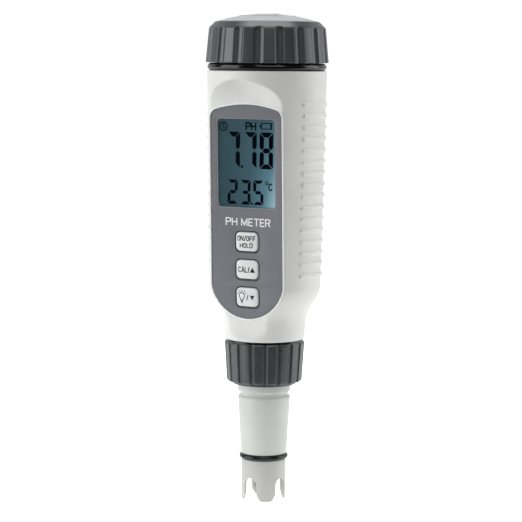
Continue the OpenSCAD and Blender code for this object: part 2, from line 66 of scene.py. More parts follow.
CAP_Z0, CAP_BORE_R, CAP_DECK_Z, CAP_TOP_Z = 143.2, 17.3, 151.6, 159.0
DOME_SEAT_R, DOME_SEAT_Z, DOME_EDGE_R, DOME_EDGE_Z = 14.5, 153.2, 16.7, 156.45
COLLAR_Z0, COLLAR_Z1, COLLAR_BORE_R = 38.5, 53.2, 10.9
COLLAR_FOOT_R, COLLAR_FOOT_Z, COLLAR_RIM_R, COLLAR_RIM_Z = 10.3, 39.45, 12.1, 52.68
FLUTES, CAP_FLUTE_TURN, COLLAR_FLUTE_TURN = 18, 0.65, 10.0
CAP_PITCH, COLLAR_PITCH = 3.0, 2.5
# Turns that put each inner ridge half a pitch from the ridge it runs in
CAP_THREAD_TURN, COLLAR_THREAD_TURN = -48.0, 7.2

PROBE_TURN, JUNCTION_TURN, SLOT_TURN = 206.5, 126.6, -8.4
SIDE_R = 4.75

CELL_STEP, CELL_RING_R, CELL_Z0, CELL_Z1 = 63.9, 10.3, 100.0, 144.5
SPRING_WIRE_R = 0.24
KEY_EDGE, KEY_BACK, KEY_STEM_R, KEY_STEM_END = 0.62, 2.6, 1.6, 3.65
MARKS_LEFT, MARKS_UP, DIGIT_SLANT = 0.6, 0.05, 0.02
FILM_FRONT = 0.72
# Heights over which the cap's top turns to its painted highlight colour
PAINTED_HIGHLIGHT_FROM, PAINTED_HIGHLIGHT_TO = 156.3, 156.7
FINE_BUMP = 0.00002

# ---------------------------------------------------------------- mesh helpers


def linked(name, data):
    """New object of this data in the scene."""
    obj = bpy.data.objects.new(name, data)
    bpy.context.scene.collection.objects.link(obj)
    return obj


def new_object(name, verts, faces, body, sharp=35.0):
    """Mesh object from millimetre vertices, smooth-shaded except across edges over `sharp` degrees."""
    mesh = bpy.data.meshes.new(name)
    mesh.from_pydata([(x * MM, y * MM, z * MM) for x, y, z in verts], [], faces)
    mesh.validate()
    outward(mesh)
    obj = linked(name, mesh)
    shade(obj, sharp)
    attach(obj, body)
    return obj


def outward(mesh):
    bm = bmesh.new()
    bm.from_mesh(mesh)
    bmesh.ops.recalc_face_normals(bm, faces=bm.faces)
    bm.to_mesh(mesh)
    bm.free()


def shade(obj, sharp):
    obj.data.shade_smooth()
    obj.data.set_sharp_from_angle(angle=math.radians(sharp))


def turn_point(r, turn, z):
    """Point at radius r; turns run from the display side (-Y) towards +X, in degrees."""
    a = math.radians(turn)
    return (r * math.sin(a), -r * math.cos(a), z)


def stitched(rings, closed=False, capped=False):
    """Vertices and faces of a skin over rings. A ring of one point is a tip; capped closes both ends flat."""
    verts, starts = [], []
    for ring in rings:
        starts.append(len(verts))
        verts.extend(ring)
    faces = []
    pairs = list(zip(range(len(rings) - 1), range(1, len(rings))))
    if closed:
        pairs.append((len(rings) - 1, 0))
    for a, b in pairs:
        na, nb = len(rings[a]), len(rings[b])
        n = max(na, nb)
        for i in range(n):
            j = (i + 1) % n
            if na == 1:
                faces.append((starts[a], starts[b] + i, starts[b] + j))
            elif nb == 1:
                faces.append((starts[a] + i, starts[b], starts[a] + j))
            else:
                faces.append((starts[a] + i, starts[b] + i, starts[b] + j, starts[a] + j))
    if capped:
        size = len(rings[0])
        faces.append(tuple(range(size)))
        faces.append(tuple(range(len(verts) - 1, len(verts) - size - 1, -1)))
    return verts, faces


def rounded_path(points, steps=5):
    """Polyline through (r, z, fillet) points, each corner replaced by an arc of its fillet radius."""
    out = []
    n = len(points)
    for i, (r, z, fillet) in enumerate(points):
        here = Vector((r, z))
        if fillet <= 0:
            out.append((r, z))
            continue
        before = Vector(points[i - 1][:2]) - here
        after = Vector(points[(i + 1) % n][:2]) - here
        half = before.angle(after) / 2
        if half > math.radians(89.5):
            out.append((r, z))
            continue
        reach = min(fillet / math.tan(half), 0.49 * before.length, 0.49 * after.length)
        radius = reach * math.tan(half)
        middle = (before.normalized() + after.normalized()).normalized()
        centre = here + middle * (radius / math.sin(half))
        start = here + before.normalized() * reach - centre
        sweep = start.angle_signed(here + after.normalized() * reach - centre)
        for k in range(steps + 1):
            t = -sweep * k / steps
            turned = Vector((start.x * math.cos(t) - start.y * math.sin(t),
                             start.x * math.sin(t) + start.y * math.cos(t)))
            out.append(tuple(centre + turned))
    return out


def split_long(path, limit):
    """The same (r, z) path with points added wherever two lie further apart than limit."""
    out = [path[0]]
    for (r0, z0), (r1, z1) in zip(path, path[1:]):
        parts = max(1, math.ceil(math.hypot(r1 - r0, z1 - z0) / limit))
        out += [(r0 + (r1 - r0) * k / parts, z0 + (z1 - z0) * k / parts) for k in range(1, parts + 1)]
    return out


def lathe(name, body, points, segments=128, closed=True, sharp=35.0, centre=(0, 0)):
    """Solid of revolution through (r, z, fillet) points about an upright axis at centre."""
    rings = []
    for r, z in rounded_path(points):
        count = 1 if r < 1e-6 else segments
        around = [turn_point(r if count > 1 else 0.0, 360 * i / count, z) for i in range(count)]
        rings.append([(x + centre[0], y + centre[1], z) for x, y, _ in around])
    verts, faces = stitched(rings, closed)
    return new_object(name, verts, faces, body, sharp)


def torus(name, body, r, section, z, segments=160, sides=28):
    rings = []
    for i in range(segments):
        turn = 360 * i / segments
        rings.append([turn_point(r + section * math.cos(2 * math.pi * k / sides), turn,
                                 z + section * math.sin(2 * math.pi * k / sides)) for k in range(sides)])
    verts, faces = stitched(rings, closed=True)
    return new_object(name, verts, faces, body, 80)


def sweep(name, body, path, radius):
    """Round wire along a list of points, its ends closed."""
    sides = 10
    points = [Vector(p) for p in path]
    rings = []
    side = None
    for i, p in enumerate(points):
        ahead = (points[min(i + 1, len(points) - 1)] - points[max(i - 1, 0)]).normalized()
        if side is None:
            side = ahead.orthogonal().normalized()
        side = (side - ahead * side.dot(ahead)).normalized()
        across = ahead.cross(side)
        rings.append([tuple(p + (side * math.cos(a) + across * math.sin(a)) * radius)
                      for a in (2 * math.pi * k / sides for k in range(sides))])
    rings = [[tuple(points[0])]] + rings + [[tuple(points[-1])]]
    verts, faces = stitched(rings)
    return new_object(name, verts, faces, body, 50)


def thread(name, body, root_r, crest_r, z0, z1, pitch, width, phase=0.0):
    """Right-handed screw ridge from z0 to z1 with tapering ends; crest_r below root_r makes an inner one."""
    steps = 72
    turns = (z1 - z0) / pitch
    count = int(turns * steps)
    out = 1 if crest_r > root_r else -1
    rings = []
    for i in range(count + 1):
        turn = phase + 360 * i / steps
        z = z0 + pitch * i / steps
        fade = min(1.0, i / 14, (count - i) / 14)
        height = 0.02 + (abs(crest_r - root_r) - 0.02) * math.sin(0.5 * math.pi * fade)
        profile = [(-0.15, -0.62), (0.02, -0.5), (0.82, -0.24), (1.0, -0.12), (1.0, 0.12), (0.82, 0.24),
                   (0.02, 0.5), (-0.15, 0.62)]
        rings.append([turn_point(root_r + out * height * h, turn, z + width * w) for h, w in profile])
    verts, faces = stitched(rings, capped=True)
    return new_object(name, verts, faces, body, 40)


def cut(obj, tools):
    """Subtracts the tools from obj and removes them."""
    for tool in tools:
        mod = obj.modifiers.new("cut", "BOOLEAN")
        mod.operation = "DIFFERENCE"
        mod.solver = "MANIFOLD"
        mod.object = tool
    bpy.context.view_layer.update()
    evaluated = obj.evaluated_get(bpy.context.evaluated_depsgraph_get())
    mesh = bpy.data.meshes.new_from_object(evaluated)
    obj.modifiers.clear()
    obj.data = mesh
    for tool in tools:
        bpy.data.objects.remove(tool)


def cutter(name, rings):
    """Closed solid over rings, for cut."""
    verts, faces = stitched(rings, capped=True)
    mesh = bpy.data.meshes.new(name)
    mesh.from_pydata([(x * MM, y * MM, z * MM) for x, y, z in verts], [], faces)
    outward(mesh)
    return linked(name, mesh)


# ---------------------------------------------------------------- display face frame


def up(z):
    """Height along the leaning display face for a height z on the pen's axis."""
    return (z - FACE_Z) / math.cos(FACE_TILT)


def on_face(x, y, depth):
    """Point on the display face: x across, y up the face from its origin, depth into the pen."""
    c, s = math.cos(FACE_TILT), math.sin(FACE_TILT)
    return (x, -FACE_D + depth * c - y * s, FACE_Z + depth * s + y * c)


def arc(cx, cy, r, a0, a1, n):
    """Points of an arc about (cx, cy); angles in degrees."""
    points = []
    for i in range(n + 1):
        a = math.radians(a0 + (a1 - a0) * i / n)
        points.append((cx + r * math.cos(a), cy + r * math.sin(a)))
    return points


def rect_loop(w, h, corner, x=0.0, y=0.0, n=8):
    """Rounded rectangle centred on (x, y)."""
    a, b = w / 2 - corner, h / 2 - corner
    return (arc(x + a, y + b, corner, 0, 90, n) + arc(x - a, y + b, corner, 90, 180, n)
            + arc(x - a, y - b, corner, 180, 270, n) + arc(x + a, y - b, corner, 270, 360, n))


def window_loop(grow, round_more):
    """Outline of the window, its width and height grown, its corners rounder."""
    return rect_loop(WINDOW_W + grow, WINDOW_H + grow, WINDOW_CORNER + round_more, 0, up(WINDOW_Z))


def key_loop(z, grow, round_more):
    """Outline of the key at height z, its width and height grown, its corners rounder."""
    return rect_loop(KEY_W + grow, KEY_H + grow, KEY_CORNER + round_more, 0, up(z))


def overlay_loop(grow):
    """Outline of the label: arched top, straight sides, round bottom."""
    o = OVERLAY
    top_y = up(o["top_z"]) - o["top_r"]
    low_y = up(o["low_z"]) + o["low_r"]
    corner_x = o["half_w"] - o["corner_r"]
    corner_a = math.degrees(math.acos(corner_x / (o["top_r"] - o["corner_r"])))
    corner_y = top_y + (o["top_r"] - o["corner_r"]) * math.sin(math.radians(corner_a))
    hip_x = o["half_w"] - o["hip_r"]
    hip_a = math.degrees(math.acos(hip_x / (o["low_r"] - o["hip_r"])))
    hip_y = low_y - (o["low_r"] - o["hip_r"]) * math.sin(math.radians(hip_a))
    return (arc(corner_x, corner_y, o["corner_r"] + grow, 0, corner_a, 10)
            + arc(0, top_y, o["top_r"] + grow, corner_a, 180 - corner_a, 24)[1:]
            + arc(-corner_x, corner_y, o["corner_r"] + grow, 180 - corner_a, 180, 10)[1:]
            + arc(-hip_x, hip_y, o["hip_r"] + grow, 180, 180 + hip_a, 8)
            + arc(0, low_y, o["low_r"] + grow, 180 + hip_a, 360 - hip_a, 32)[1:]
            + arc(hip_x, hip_y, o["hip_r"] + grow, 360 - hip_a, 360, 8)[1:])


def face_cutter(name, loop, depth0, depth1):
    """Cutter between two depths under a loop on the display face."""
    return cutter(name, [[on_face(x, y, depth) for x, y in loop] for depth in (depth1, depth0)])


def plate(name, body, loops, depth0, depth1, bevel=0.0, rounds=3, sharp=40.0):
    """Flat plate on the display face from an outline and its holes, with bevelled edges."""
    curve = bpy.data.curves.new(name, "CURVE")
    curve.dimensions = "2D"
    curve.fill_mode = "BOTH"
    curve.extrude = (depth1 - depth0) / 2 - bevel
    curve.bevel_depth = bevel
    curve.bevel_resolution = rounds
    curve.offset = -bevel
    for loop in loops:
        spline = curve.splines.new("POLY")
        spline.points.add(len(loop) - 1)
        for point, (x, y) in zip(spline.points, loop):
            point.co = (x, y, 0, 1)
        spline.use_cyclic_u = True
    holder = linked(name + "_curve", curve)
    bpy.context.view_layer.update()
    mesh = bpy.data.meshes.new_from_object(holder.evaluated_get(bpy.context.evaluated_depsgraph_get()))
    bpy.data.objects.remove(holder)
    bm = bmesh.new()
    bm.from_mesh(mesh)
    bmesh.ops.remove_doubles(bm, verts=bm.verts, dist=0.0005)
    middle = (depth0 + depth1) / 2
    for v in bm.verts:
        x, y, z = on_face(v.co.x, v.co.y, middle - v.co.z)
        v.co = (x * MM, y * MM, z * MM)
    bmesh.ops.recalc_face_normals(bm, faces=bm.faces)
    bm.to_mesh(mesh)
    bm.free()
    mesh.name = name
    obj = linked(name, mesh)
    shade(obj, sharp)
    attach(obj, body)
    return obj


def join(name, objects):
    """Joins mesh objects of one body into the first of them."""
    bm = bmesh.new()
    for obj in objects:
        bm.from_mesh(obj.data)
    bm.to_mesh(objects[0].data)
    bm.free()
    for obj in objects[1:]:
        bpy.data.objects.remove(obj)
    objects[0].name = name
    return objects[0]


# ---------------------------------------------------------------- materials


def rgb(r, g, b):
    """Linear colour from 0-255 display values."""
    def linear(v):
        v /= 255
        return v / 12.92 if v <= 0.04045 else ((v + 0.055) / 1.055) ** 2.4
    return (linear(r), linear(g), linear(b), 1.0)


class Material:
    """Node material with noise-driven colour, roughness and bump in object space."""

    def __init__(self, name, **fixed):
        self.data = bpy.data.materials.new(name)
        self.data.use_nodes = True
        self.nodes = self.data.node_tree.nodes
        self.links = self.data.node_tree.links
        self.shader = self.nodes["Principled BSDF"]
        self.coords = self.nodes.new("ShaderNodeTexCoord").outputs["Object"]
        for socket, value in fixed.items():
            self.shader.inputs[socket.replace("_", " ")].default_value = value

    def node(self, kind, output, setup=(), **inputs):
        """One output of a new node, or all for None; inputs are links or values by socket name."""
        node = self.nodes.new("ShaderNode" + kind)
        for attribute, value in setup:
            setattr(node, attribute, value)
        for name, value in inputs.items():
            socket = node.inputs[name.replace("_", " ")]
            if isinstance(value, bpy.types.NodeSocket):
                self.links.new(value, socket)
            else:
                socket.default_value = value
        return node.outputs[output] if output else node.outputs

    def noise(self, scale, detail=4.0, stretch=(1, 1, 1), rough=0.55):
        """Noise whose scale is in features per metre, stretched along an axis by a small factor."""
        place = self.node("Mapping", "Vector", Vector=self.coords, Scale=stretch)
        return self.node("TexNoise", "Fac", Vector=place, Scale=scale, Detail=detail, Roughness=rough)

    def ramp(self, fac, stops):
        node = self.nodes.new("ShaderNodeValToRGB")
        elements = node.color_ramp.elements
        while len(elements) < len(stops):
            elements.new(0.5)
        for element, (position, colour) in zip(elements, stops):
            element.position = position
            element.color = colour
        self.links.new(fac, node.inputs["Fac"])
        return node.outputs["Color"]

    def spread(self, fac, low, high, start=0.3, end=0.7):
        return self.node("MapRange", "Result", Value=fac, From_Min=start, From_Max=end,
                         To_Min=low, To_Max=high)

    def mix(self, fac, a, b):
        return self.node("Mix", "Result", [("data_type", "RGBA")], Factor=fac, A=a, B=b)

    def maths(self, operation, a, b):
        node = self.nodes.new("ShaderNodeMath")
        node.operation = operation
        for socket, value in zip(node.inputs, (a, b)):
            if isinstance(value, (int, float)):
                socket.default_value = value
            else:
                self.links.new(value, socket)
        return node.outputs["Value"]

    def split(self):
        """Object-space x, y and z in metres."""
        return self.node("SeparateXYZ", None, Vector=self.coords)

    def colour(self, socket):
        self.links.new(socket, self.shader.inputs["Base Color"])

    def roughness(self, socket):
        self.links.new(socket, self.shader.inputs["Roughness"])

    def bump(self, height, strength, distance=0.00005):
        normal = self.node("Bump", "Normal", Strength=strength, Distance=distance, Height=height)
        self.links.new(normal, self.shader.inputs["Normal"])


def plastic(name, dark, light, low, high, grain=2600, bump=0.25, **fixed):
    """Moulded plastic: slow colour drift, satin grain in roughness and bump."""
    m = Material(name, **fixed)
    m.colour(m.ramp(m.noise(90, 6), [(0.3, dark), (0.7, light)]))
    m.roughness(m.spread(m.noise(grain * 0.3, 5), low, high))
    m.bump(m.noise(grain, 3), bump)
    return m.data


def metal(name, dark, light, low, high, bump=0.2):
    """Bare or plated metal with an even grain."""
    m = Material(name, Metallic=1.0)
    m.colour(m.ramp(m.noise(220, 5), [(0.3, dark), (0.72, light)]))
    m.roughness(m.spread(m.noise(1800, 4), low, high))
    m.bump(m.noise(1800, 3), bump, FINE_BUMP)
    return m.data


def worn_plastic(name, dark, light, scuffed, low, high, painted_top_highlight=None, **fixed):
    """Grip plastic with a fine grain and faint scuffs; the colour given for its top is a painted highlight,
    where light falls on it.
    """
    m = Material(name, **fixed)
    base = m.ramp(m.noise(70, 6), [(0.32, dark), (0.7, light)])
    # Painted highlight: the top is lightened above these heights.
    if painted_top_highlight:
        base = m.mix(m.spread(m.split()["Z"], 0.0, 1.0, PAINTED_HIGHLIGHT_FROM * MM, PAINTED_HIGHLIGHT_TO * MM), base, painted_top_highlight)
    scuff = m.spread(m.noise(420, 5, (1, 1, 0.25), 0.6), 0.0, 1.0, 0.58, 0.86)
    m.colour(m.mix(scuff, base, scuffed))
    m.roughness(m.spread(m.noise(700, 5), low, high))
    m.bump(m.noise(1600, 2), 0.03, FINE_BUMP)
    return m.data


def lcd_painted_glow_material():
    """Teal display glass with painted light: a painted shade dims it on the left, a painted highlight is
    brightest low on the right, and a painted emission glow stands in for the backlight.
    """
    m = Material("lcd", Specular_IOR_Level=0.1)
    place = m.split()
    x, z = place["X"], place["Z"]
    across = m.spread(x, 0.0, 1.0, -0.0104, 0.0104)
    low = m.spread(z, 1.0, 0.0, 0.0968, 0.1254)
    corner = m.maths("MULTIPLY", m.maths("POWER", across, 2.2), m.maths("POWER", low, 0.9))
    tone = m.maths("ADD", m.maths("MULTIPLY", across, 0.30), m.maths("MULTIPLY", corner, 0.62))
    tone = m.maths("ADD", tone, m.maths("MULTIPLY", m.noise(240, 3), 0.06))
    # Painted shade and highlight: dark teal on the left, light teal low on the right.
    teal = [(0.0, rgb(42, 68, 77)), (0.3, rgb(58, 88, 99)), (0.62, rgb(86, 124, 139)),
            (1.0, rgb(168, 202, 213))]
    dim = [(stop, tuple(0.3 * c for c in colour[:3]) + (1.0,)) for stop, colour in teal]
    m.colour(m.ramp(tone, dim))
    # Painted glow: the same ramp drives emission, so the glass shines without any lamp.
    m.links.new(m.ramp(tone, teal), m.shader.inputs["Emission Color"])
    m.shader.inputs["Emission Strength"].default_value = 0.75
    m.roughness(m.spread(m.noise(1500, 3), 0.34, 0.44))
    m.bump(m.noise(4200, 2), 0.08, FINE_BUMP)
    return m.data


def label_painted_shade_material():
    """Grey printed film with a painted shade, darker at the top left and lighter low on the right, and a fine
    velvet grain.
    """
    m = Material("label", Specular_IOR_Level=0.4)
    place = m.split()
    x, z = place["X"], place["Z"]
    across = m.spread(x, 0.0, 1.0, -0.0129, 0.0129)
    # Painted shade: the grey grows lighter towards the right and towards the bottom.
    low = m.spread(z, 1.0, 0.0, 0.061, 0.130)
    tone = m.maths("ADD", m.maths("MULTIPLY", across, 0.45), m.maths("MULTIPLY", low, 0.35))
    tone = m.maths("ADD", tone, m.maths("MULTIPLY", m.noise(160, 5), 0.2))
    m.colour(m.ramp(tone, [(0.0, rgb(108, 110, 115)), (0.5, rgb(117, 119, 125)), (1.0, rgb(127, 129, 135))]))
    m.roughness(m.spread(m.noise(900, 4), 0.42, 0.56))
    m.bump(m.noise(5200, 2), 0.22, 0.00003)
    return m.data


def clear_material(name, tint, alpha, low, high, gloss):
    """Clear moulded plastic or thin glass: mostly see-through with a glossy skin."""
    m = Material(name, Alpha=alpha, IOR=1.5, Specular_IOR_Level=gloss)
    lighter = tuple(min(1.0, c * 1.15) for c in tint[:3]) + (1,)
    m.colour(m.ramp(m.noise(120, 3), [(0.3, tint), (0.7, lighter)]))
    m.roughness(m.spread(m.noise(500, 4), low, high))
    m.bump(m.noise(900, 2), 0.03, FINE_BUMP)
    return m.data


def board_material():
    """Solder-masked fibreglass with a faint weave under the green."""
    m = Material("board", Specular_IOR_Level=0.5, Coat_Weight=0.4, Coat_Roughness=0.15)
    weave = m.node("TexWave", "Fac", [("wave_type", "BANDS"), ("bands_direction", "Z")], Vector=m.coords,
                   Scale=260, Distortion=9, Detail=1, Detail_Scale=0.6)
    m.colour(m.ramp(weave, [(0.55, rgb(18, 70, 38)), (0.68, rgb(46, 112, 60))]))
    m.roughness(m.spread(m.noise(1200, 4), 0.3, 0.45))
    m.bump(weave, 0.3, 0.00003)
    return m.data


def cell_material():
    """Battery jacket: dark wrap with a copper band at the terminal end and a printed ring."""
    m = Material("cell", Metallic=0.35, Coat_Weight=0.6, Coat_Roughness=0.08)
    along = m.spread(m.split()["Z"], 0.0, 1.0, 0.100, 0.1445)
    m.colour(m.ramp(along, [(0.0, rgb(32, 34, 40)), (0.66, rgb(30, 32, 38)), (0.67, rgb(214, 214, 208)),
                            (0.69, rgb(214, 214, 208)), (0.70, rgb(196, 128, 62)), (1.0, rgb(206, 142, 76))]))
    m.roughness(m.spread(m.noise(600, 4), 0.24, 0.36))
    m.bump(m.noise(2200, 2), 0.05, FINE_BUMP)
    return m.data


# Dark and light tone of the colour drift, lowest and highest roughness, and what differs from the default
PLASTICS = {
    "body_plastic": ((233, 234, 231), (241, 242, 239), 0.36, 0.48,
                     {"grain": 3000, "bump": 0.10, "Specular_IOR_Level": 0.45}),
    # A brighter white than the body: a painted highlight along the lip round the label.
    "rim_plastic": ((248, 249, 248), (253, 254, 253), 0.2, 0.3, {"grain": 3000, "bump": 0.05}),
    "barrel_plastic": ((209, 211, 207), (217, 219, 215), 0.34, 0.46, {"grain": 3000, "bump": 0.10}),
    "guard_plastic": ((197, 198, 195), (206, 207, 204), 0.36, 0.5, {"grain": 2800, "bump": 0.12}),
    # The dome's light grey is a painted highlight of the light falling on its top.
    "dome_plastic": ((178, 179, 185), (188, 189, 195), 0.26, 0.38,
                     {"grain": 1600, "bump": 0.04, "Specular_IOR_Level": 0.8}),
    "segment": ((3, 8, 18), (6, 12, 22), 0.5, 0.65,
                {"grain": 5000, "bump": 0.05, "Specular_IOR_Level": 0.0}),
    "print_dark": ((12, 13, 16), (22, 23, 27), 0.5, 0.65, {"grain": 6000, "bump": 0.1}),
    "print_white": ((240, 241, 242), (250, 250, 250), 0.4, 0.55, {"grain": 6000, "bump": 0.08}),
    "window_border": ((126, 129, 135), (136, 139, 145), 0.4, 0.5, {"grain": 5000, "bump": 0.08}),
    "rubber": ((2, 2, 3), (5, 5, 6), 0.08, 0.14, {"grain": 2400, "bump": 0.03, "Specular_IOR_Level": 0.5}),
    "white_plastic": ((222, 223, 220), (234, 235, 232), 0.35, 0.5, {}),
    "silicone": ((150, 151, 152), (164, 165, 166), 0.5, 0.65, {"bump": 0.3}),
    "black_plastic": ((20, 20, 22), (34, 34, 37), 0.36, 0.52, {"bump": 0.3}),
    "flat_cable": ((176, 108, 40), (206, 138, 62), 0.2, 0.34,
                   {"grain": 1200, "bump": 0.2, "Coat_Weight": 0.5}),
    "ceramic": ((226, 220, 206), (240, 236, 226), 0.7, 0.85, {"grain": 2000, "bump": 0.5}),
    "wire": ((150, 30, 26), (184, 46, 38), 0.4, 0.55, {}),
    "potting": ((16, 16, 17), (30, 30, 32), 0.12, 0.3, {"grain": 500, "bump": 0.3, "Coat_Weight": 0.5}),
    "key_plastic": ((230, 232, 233), (238, 240, 241), 0.30, 0.42,
                    {"grain": 3200, "bump": 0.08, "Specular_IOR_Level": 0.5}),
    "carbon": ((14, 14, 15), (26, 26, 27), 0.6, 0.8, {"grain": 2600, "bump": 0.5}),
}
METALS = {
    "steel": ((150, 150, 152), (192, 192, 194), 0.2, 0.36, {}),
    "gold": ((196, 152, 70), (228, 190, 108), 0.16, 0.3, {"bump": 0.1}),
    "silver": ((176, 178, 182), (214, 215, 218), 0.14, 0.28, {}),
}


def make_materials():
    made = {}
    for make, looks in ((plastic, PLASTICS), (metal, METALS)):
        for name, (dark, light, low, high, more) in looks.items():
            made[name] = make(name, rgb(*dark), rgb(*light), low, high, **more)
    made["dark_plastic"] = worn_plastic("dark_plastic", rgb(46, 48, 52), rgb(54, 56, 60), rgb(60, 62, 67),
                                        0.26, 0.36, Specular_IOR_Level=0.9)
    # cap_plastic: its light top colour is a painted highlight.
    made["cap_plastic"] = worn_plastic("cap_plastic", rgb(52, 54, 58), rgb(60, 62, 67), rgb(66, 68, 73),
                                       0.28, 0.38, painted_top_highlight=rgb(188, 189, 195), Specular_IOR_Level=0.95)
    made["window"] = clear_material("window", rgb(8, 11, 13), 0.03, 0.10, 0.18, 0.08)
    made["glass"] = clear_material("glass", rgb(196, 208, 214), 0.30, 0.03, 0.06, 0.8)
    made.update(label=label_painted_shade_material(), lcd=lcd_painted_glow_material(), board=board_material(), cell=cell_material())
    return made


MATERIALS = make_materials()


def dress(obj, material, nodes=()):
    """Gives a piece its material and the CAD nodes that it stands for."""
    obj.data.materials.clear()
    obj.data.materials.append(MATERIALS[material])
    if nodes:
        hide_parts(*nodes)
    return obj


# ---------------------------------------------------------------- housing


def body_r(z):
    """Radius of the round housing: neck, S-shaped shoulder, then a straight taper."""
    if z < CURVE_Z0:
        return NECK_R0 + (CURVE_R0 - NECK_R0) * (z - BODY_Z0) / (CURVE_Z0 - BODY_Z0)
    if z < CURVE_Z1:
        s = (1 - math.cos(math.pi * (z - CURVE_Z0) / (CURVE_Z1 - CURVE_Z0))) / 2
        return CURVE_R0 + (BODY_LOW_R - CURVE_R0) * s
    return BODY_LOW_R + (BODY_TOP_R - BODY_LOW_R) * (z - CURVE_Z1) / (BODY_Z1 - CURVE_Z1)


def face_r(turn, z, depth):
    """Distance from the axis to the display cut-out, moved in by depth; huge where it isn't met."""
    c = math.cos(math.radians(turn))
    if c < 0.05:
        return 1e3
    h = up(z)
    side = body_r(z) * math.sin(math.radians(turn))
    arch = SCOOP_ARCH * (math.hypot(side, SCOOP_ARCH_R) - SCOOP_ARCH_R)
    top, low = up(SCOOP_TOP_Z) - arch, up(SCOOP_LOW_Z)
    inset = depth
    for past, scoop_r in ((h - top, SCOOP_TOP_R), (low - h, SCOOP_LOW_R)):
        if past > 0:
            reach = (scoop_r + depth) ** 2 - past ** 2
            if reach <= 0:
                return 1e3
            inset = math.sqrt(reach) - scoop_r
    y = -FACE_D + inset / math.cos(FACE_TILT) - (z - FACE_Z) * math.tan(FACE_TILT)
    return max(-y / c, 0.0)


def smooth_min(a, b, k):
    """The lesser of a and b, blended where they differ by less than k."""
    h = max(k - abs(a - b), 0.0) / k
    return min(a, b) - h * h * k / 4


def smooth_step(t):
    t = max(0.0, min(1.0, t))
    return t * t * (3 - 2 * t)


def rib_height(turn, z):
    """How far a grip rib stands out of the round wall here."""
    index = round((RIB_TOP_Z - z) / RIB_PITCH)
    if not 0 <= index < RIB_COUNT:
        return 0.0
    dz = abs(RIB_TOP_Z - index * RIB_PITCH - z)
    if dz > 0.9:
        return 0.0
    side = abs((turn % 180) - 90)
    half = RIB_HALF_ARC - 2.2
    along = max(0.0, (side - half) * math.radians(1) * body_r(z))
    away = math.hypot(dz, along)
    return RIB_PROUD * smooth_step((0.88 - away) / 0.42)


def housing_outer(turn, z):
    """Radius of the outer skin: round wall, ribs, rounded ends and the display face."""
    wall = body_r(z) + rib_height(turn, z)
    for edge, fillet in ((BODY_Z1 - z, 0.45), (z - BODY_Z0, 0.35)):
        if edge < fillet:
            wall -= fillet - math.sqrt(max(fillet ** 2 - (fillet - edge) ** 2, 0.0))
    face = face_r(turn, z, 0.0)
    return smooth_min(wall, face, FACE_FILLET) if face < 100 else wall


def housing_inner(turn, z):
    """Radius of the inner skin: the neck ring's seat, or the wall behind the outside and the face."""
    wall = SEAT_R if z > SEAT_Z else body_r(z) - WALL
    return min(wall, face_r(turn, z, FACE_WALL))


def housing_turns():
    """Columns of the housing grid, denser at the face's edges and at the ribs' ends."""
    turns = []
    t = -180.0
    while t < 180 - 1e-6:
        turns.append(t)
        a = abs(t + 1e-6)
        near_edge = 28 <= a < 66
        near_rib_end = 66 <= a < 71 or 109 <= a < 114
        t += 0.5 if near_rib_end else 1.0 if near_edge else 2.0 if a < 28 else 2.5
    return turns


def housing_rows():
    """Heights of the outer grid, denser on the ribs, the scoops and the edges."""
    heights = {BODY_Z0, BODY_Z0 + 0.05, BODY_Z0 + 0.15, BODY_Z0 + 0.35}
    heights |= {BODY_Z1 - d for d in (0.0, 0.02, 0.07, 0.15, 0.28, 0.45, 0.8, 1.4)}
    heights |= {BODY_Z0 + 0.5 + 0.5 * i for i in range(42)}
    heights |= {SCOOP_TOP_Z - 1.0 + 0.2 * i for i in range(40)}
    for i in range(RIB_COUNT):
        z = RIB_TOP_Z - i * RIB_PITCH
        offsets = [0.1, 0.3, 0.46, 0.55, 0.64, 0.72, 0.8, 0.9, 1.35]
        heights |= {z + side * d for side in (-1, 1) for d in offsets}
    heights = sorted(h for h in heights if BODY_Z0 <= h <= BODY_Z1)
    kept = [heights[0]]
    for h in heights[1:]:
        if h - kept[-1] > 0.015:
            kept.append(h)
    kept[-1] = BODY_Z1
    return kept


def build_housing():
    turns = housing_turns()
    rings = [[turn_point(housing_outer(t, z), t, z) for t in turns] for z in housing_rows()]
    inner = [BODY_Z1, SEAT_Z + 0.01, SEAT_Z - 0.01] + [135.5 - 2.5 * i for i in range(25)]
    inner += [CURVE_Z1 + 1] + list(range(70, 55, -1)) + [SHELF_Z1]
    rings += [[turn_point(housing_inner(t, z), t, z) for t in turns] for z in inner]
    for r, z in ((SHELF_HOLE_R, SHELF_Z1), (SHELF_HOLE_R, SHELF_Z0), (SPIGOT_BORE_R, SHELF_Z0),
                 (SPIGOT_BORE_R, SPIGOT_Z0 + 0.4), (SPIGOT_BORE_R + 0.3, SPIGOT_Z0),
                 (SPIGOT_R - 0.3, SPIGOT_Z0), (SPIGOT_R, SPIGOT_Z0 + 0.3), (SPIGOT_R, 47.0),
                 (SPIGOT_R, BODY_Z0)):
        rings.append([turn_point(r, t, z) for t in turns])
    verts, faces = stitched(rings, closed=True)
    shell = new_object("housing_shell", verts, faces, "housing", 40)
    openings = [face_cutter("cut_label", overlay_loop(0.0), -8.0, RECESS),
                face_cutter("cut_window", window_loop(1, 0.5), -1.0, 3.0)]
    openings += [face_cutter("cut_key", key_loop(z, 2 * KEY_GAP, KEY_GAP), -1.0, 3.0) for z in KEYS.values()]
    cut(shell, openings)
    shade(shell, 38)
    dress(shell, "body_plastic", nodes=["housing"])

    # The lip's brighter white is a painted highlight.
    bead = closed_bead("housing_lip", "housing", overlay_loop(0.22), 0.28)
    dress(bead, "rim_plastic")
    spigot = thread("housing_lower_thread", "housing", SPIGOT_R, SPIGOT_R + 0.3, 44.2, 51.6,
                    COLLAR_PITCH, 1.5)
    dress(spigot, "body_plastic")


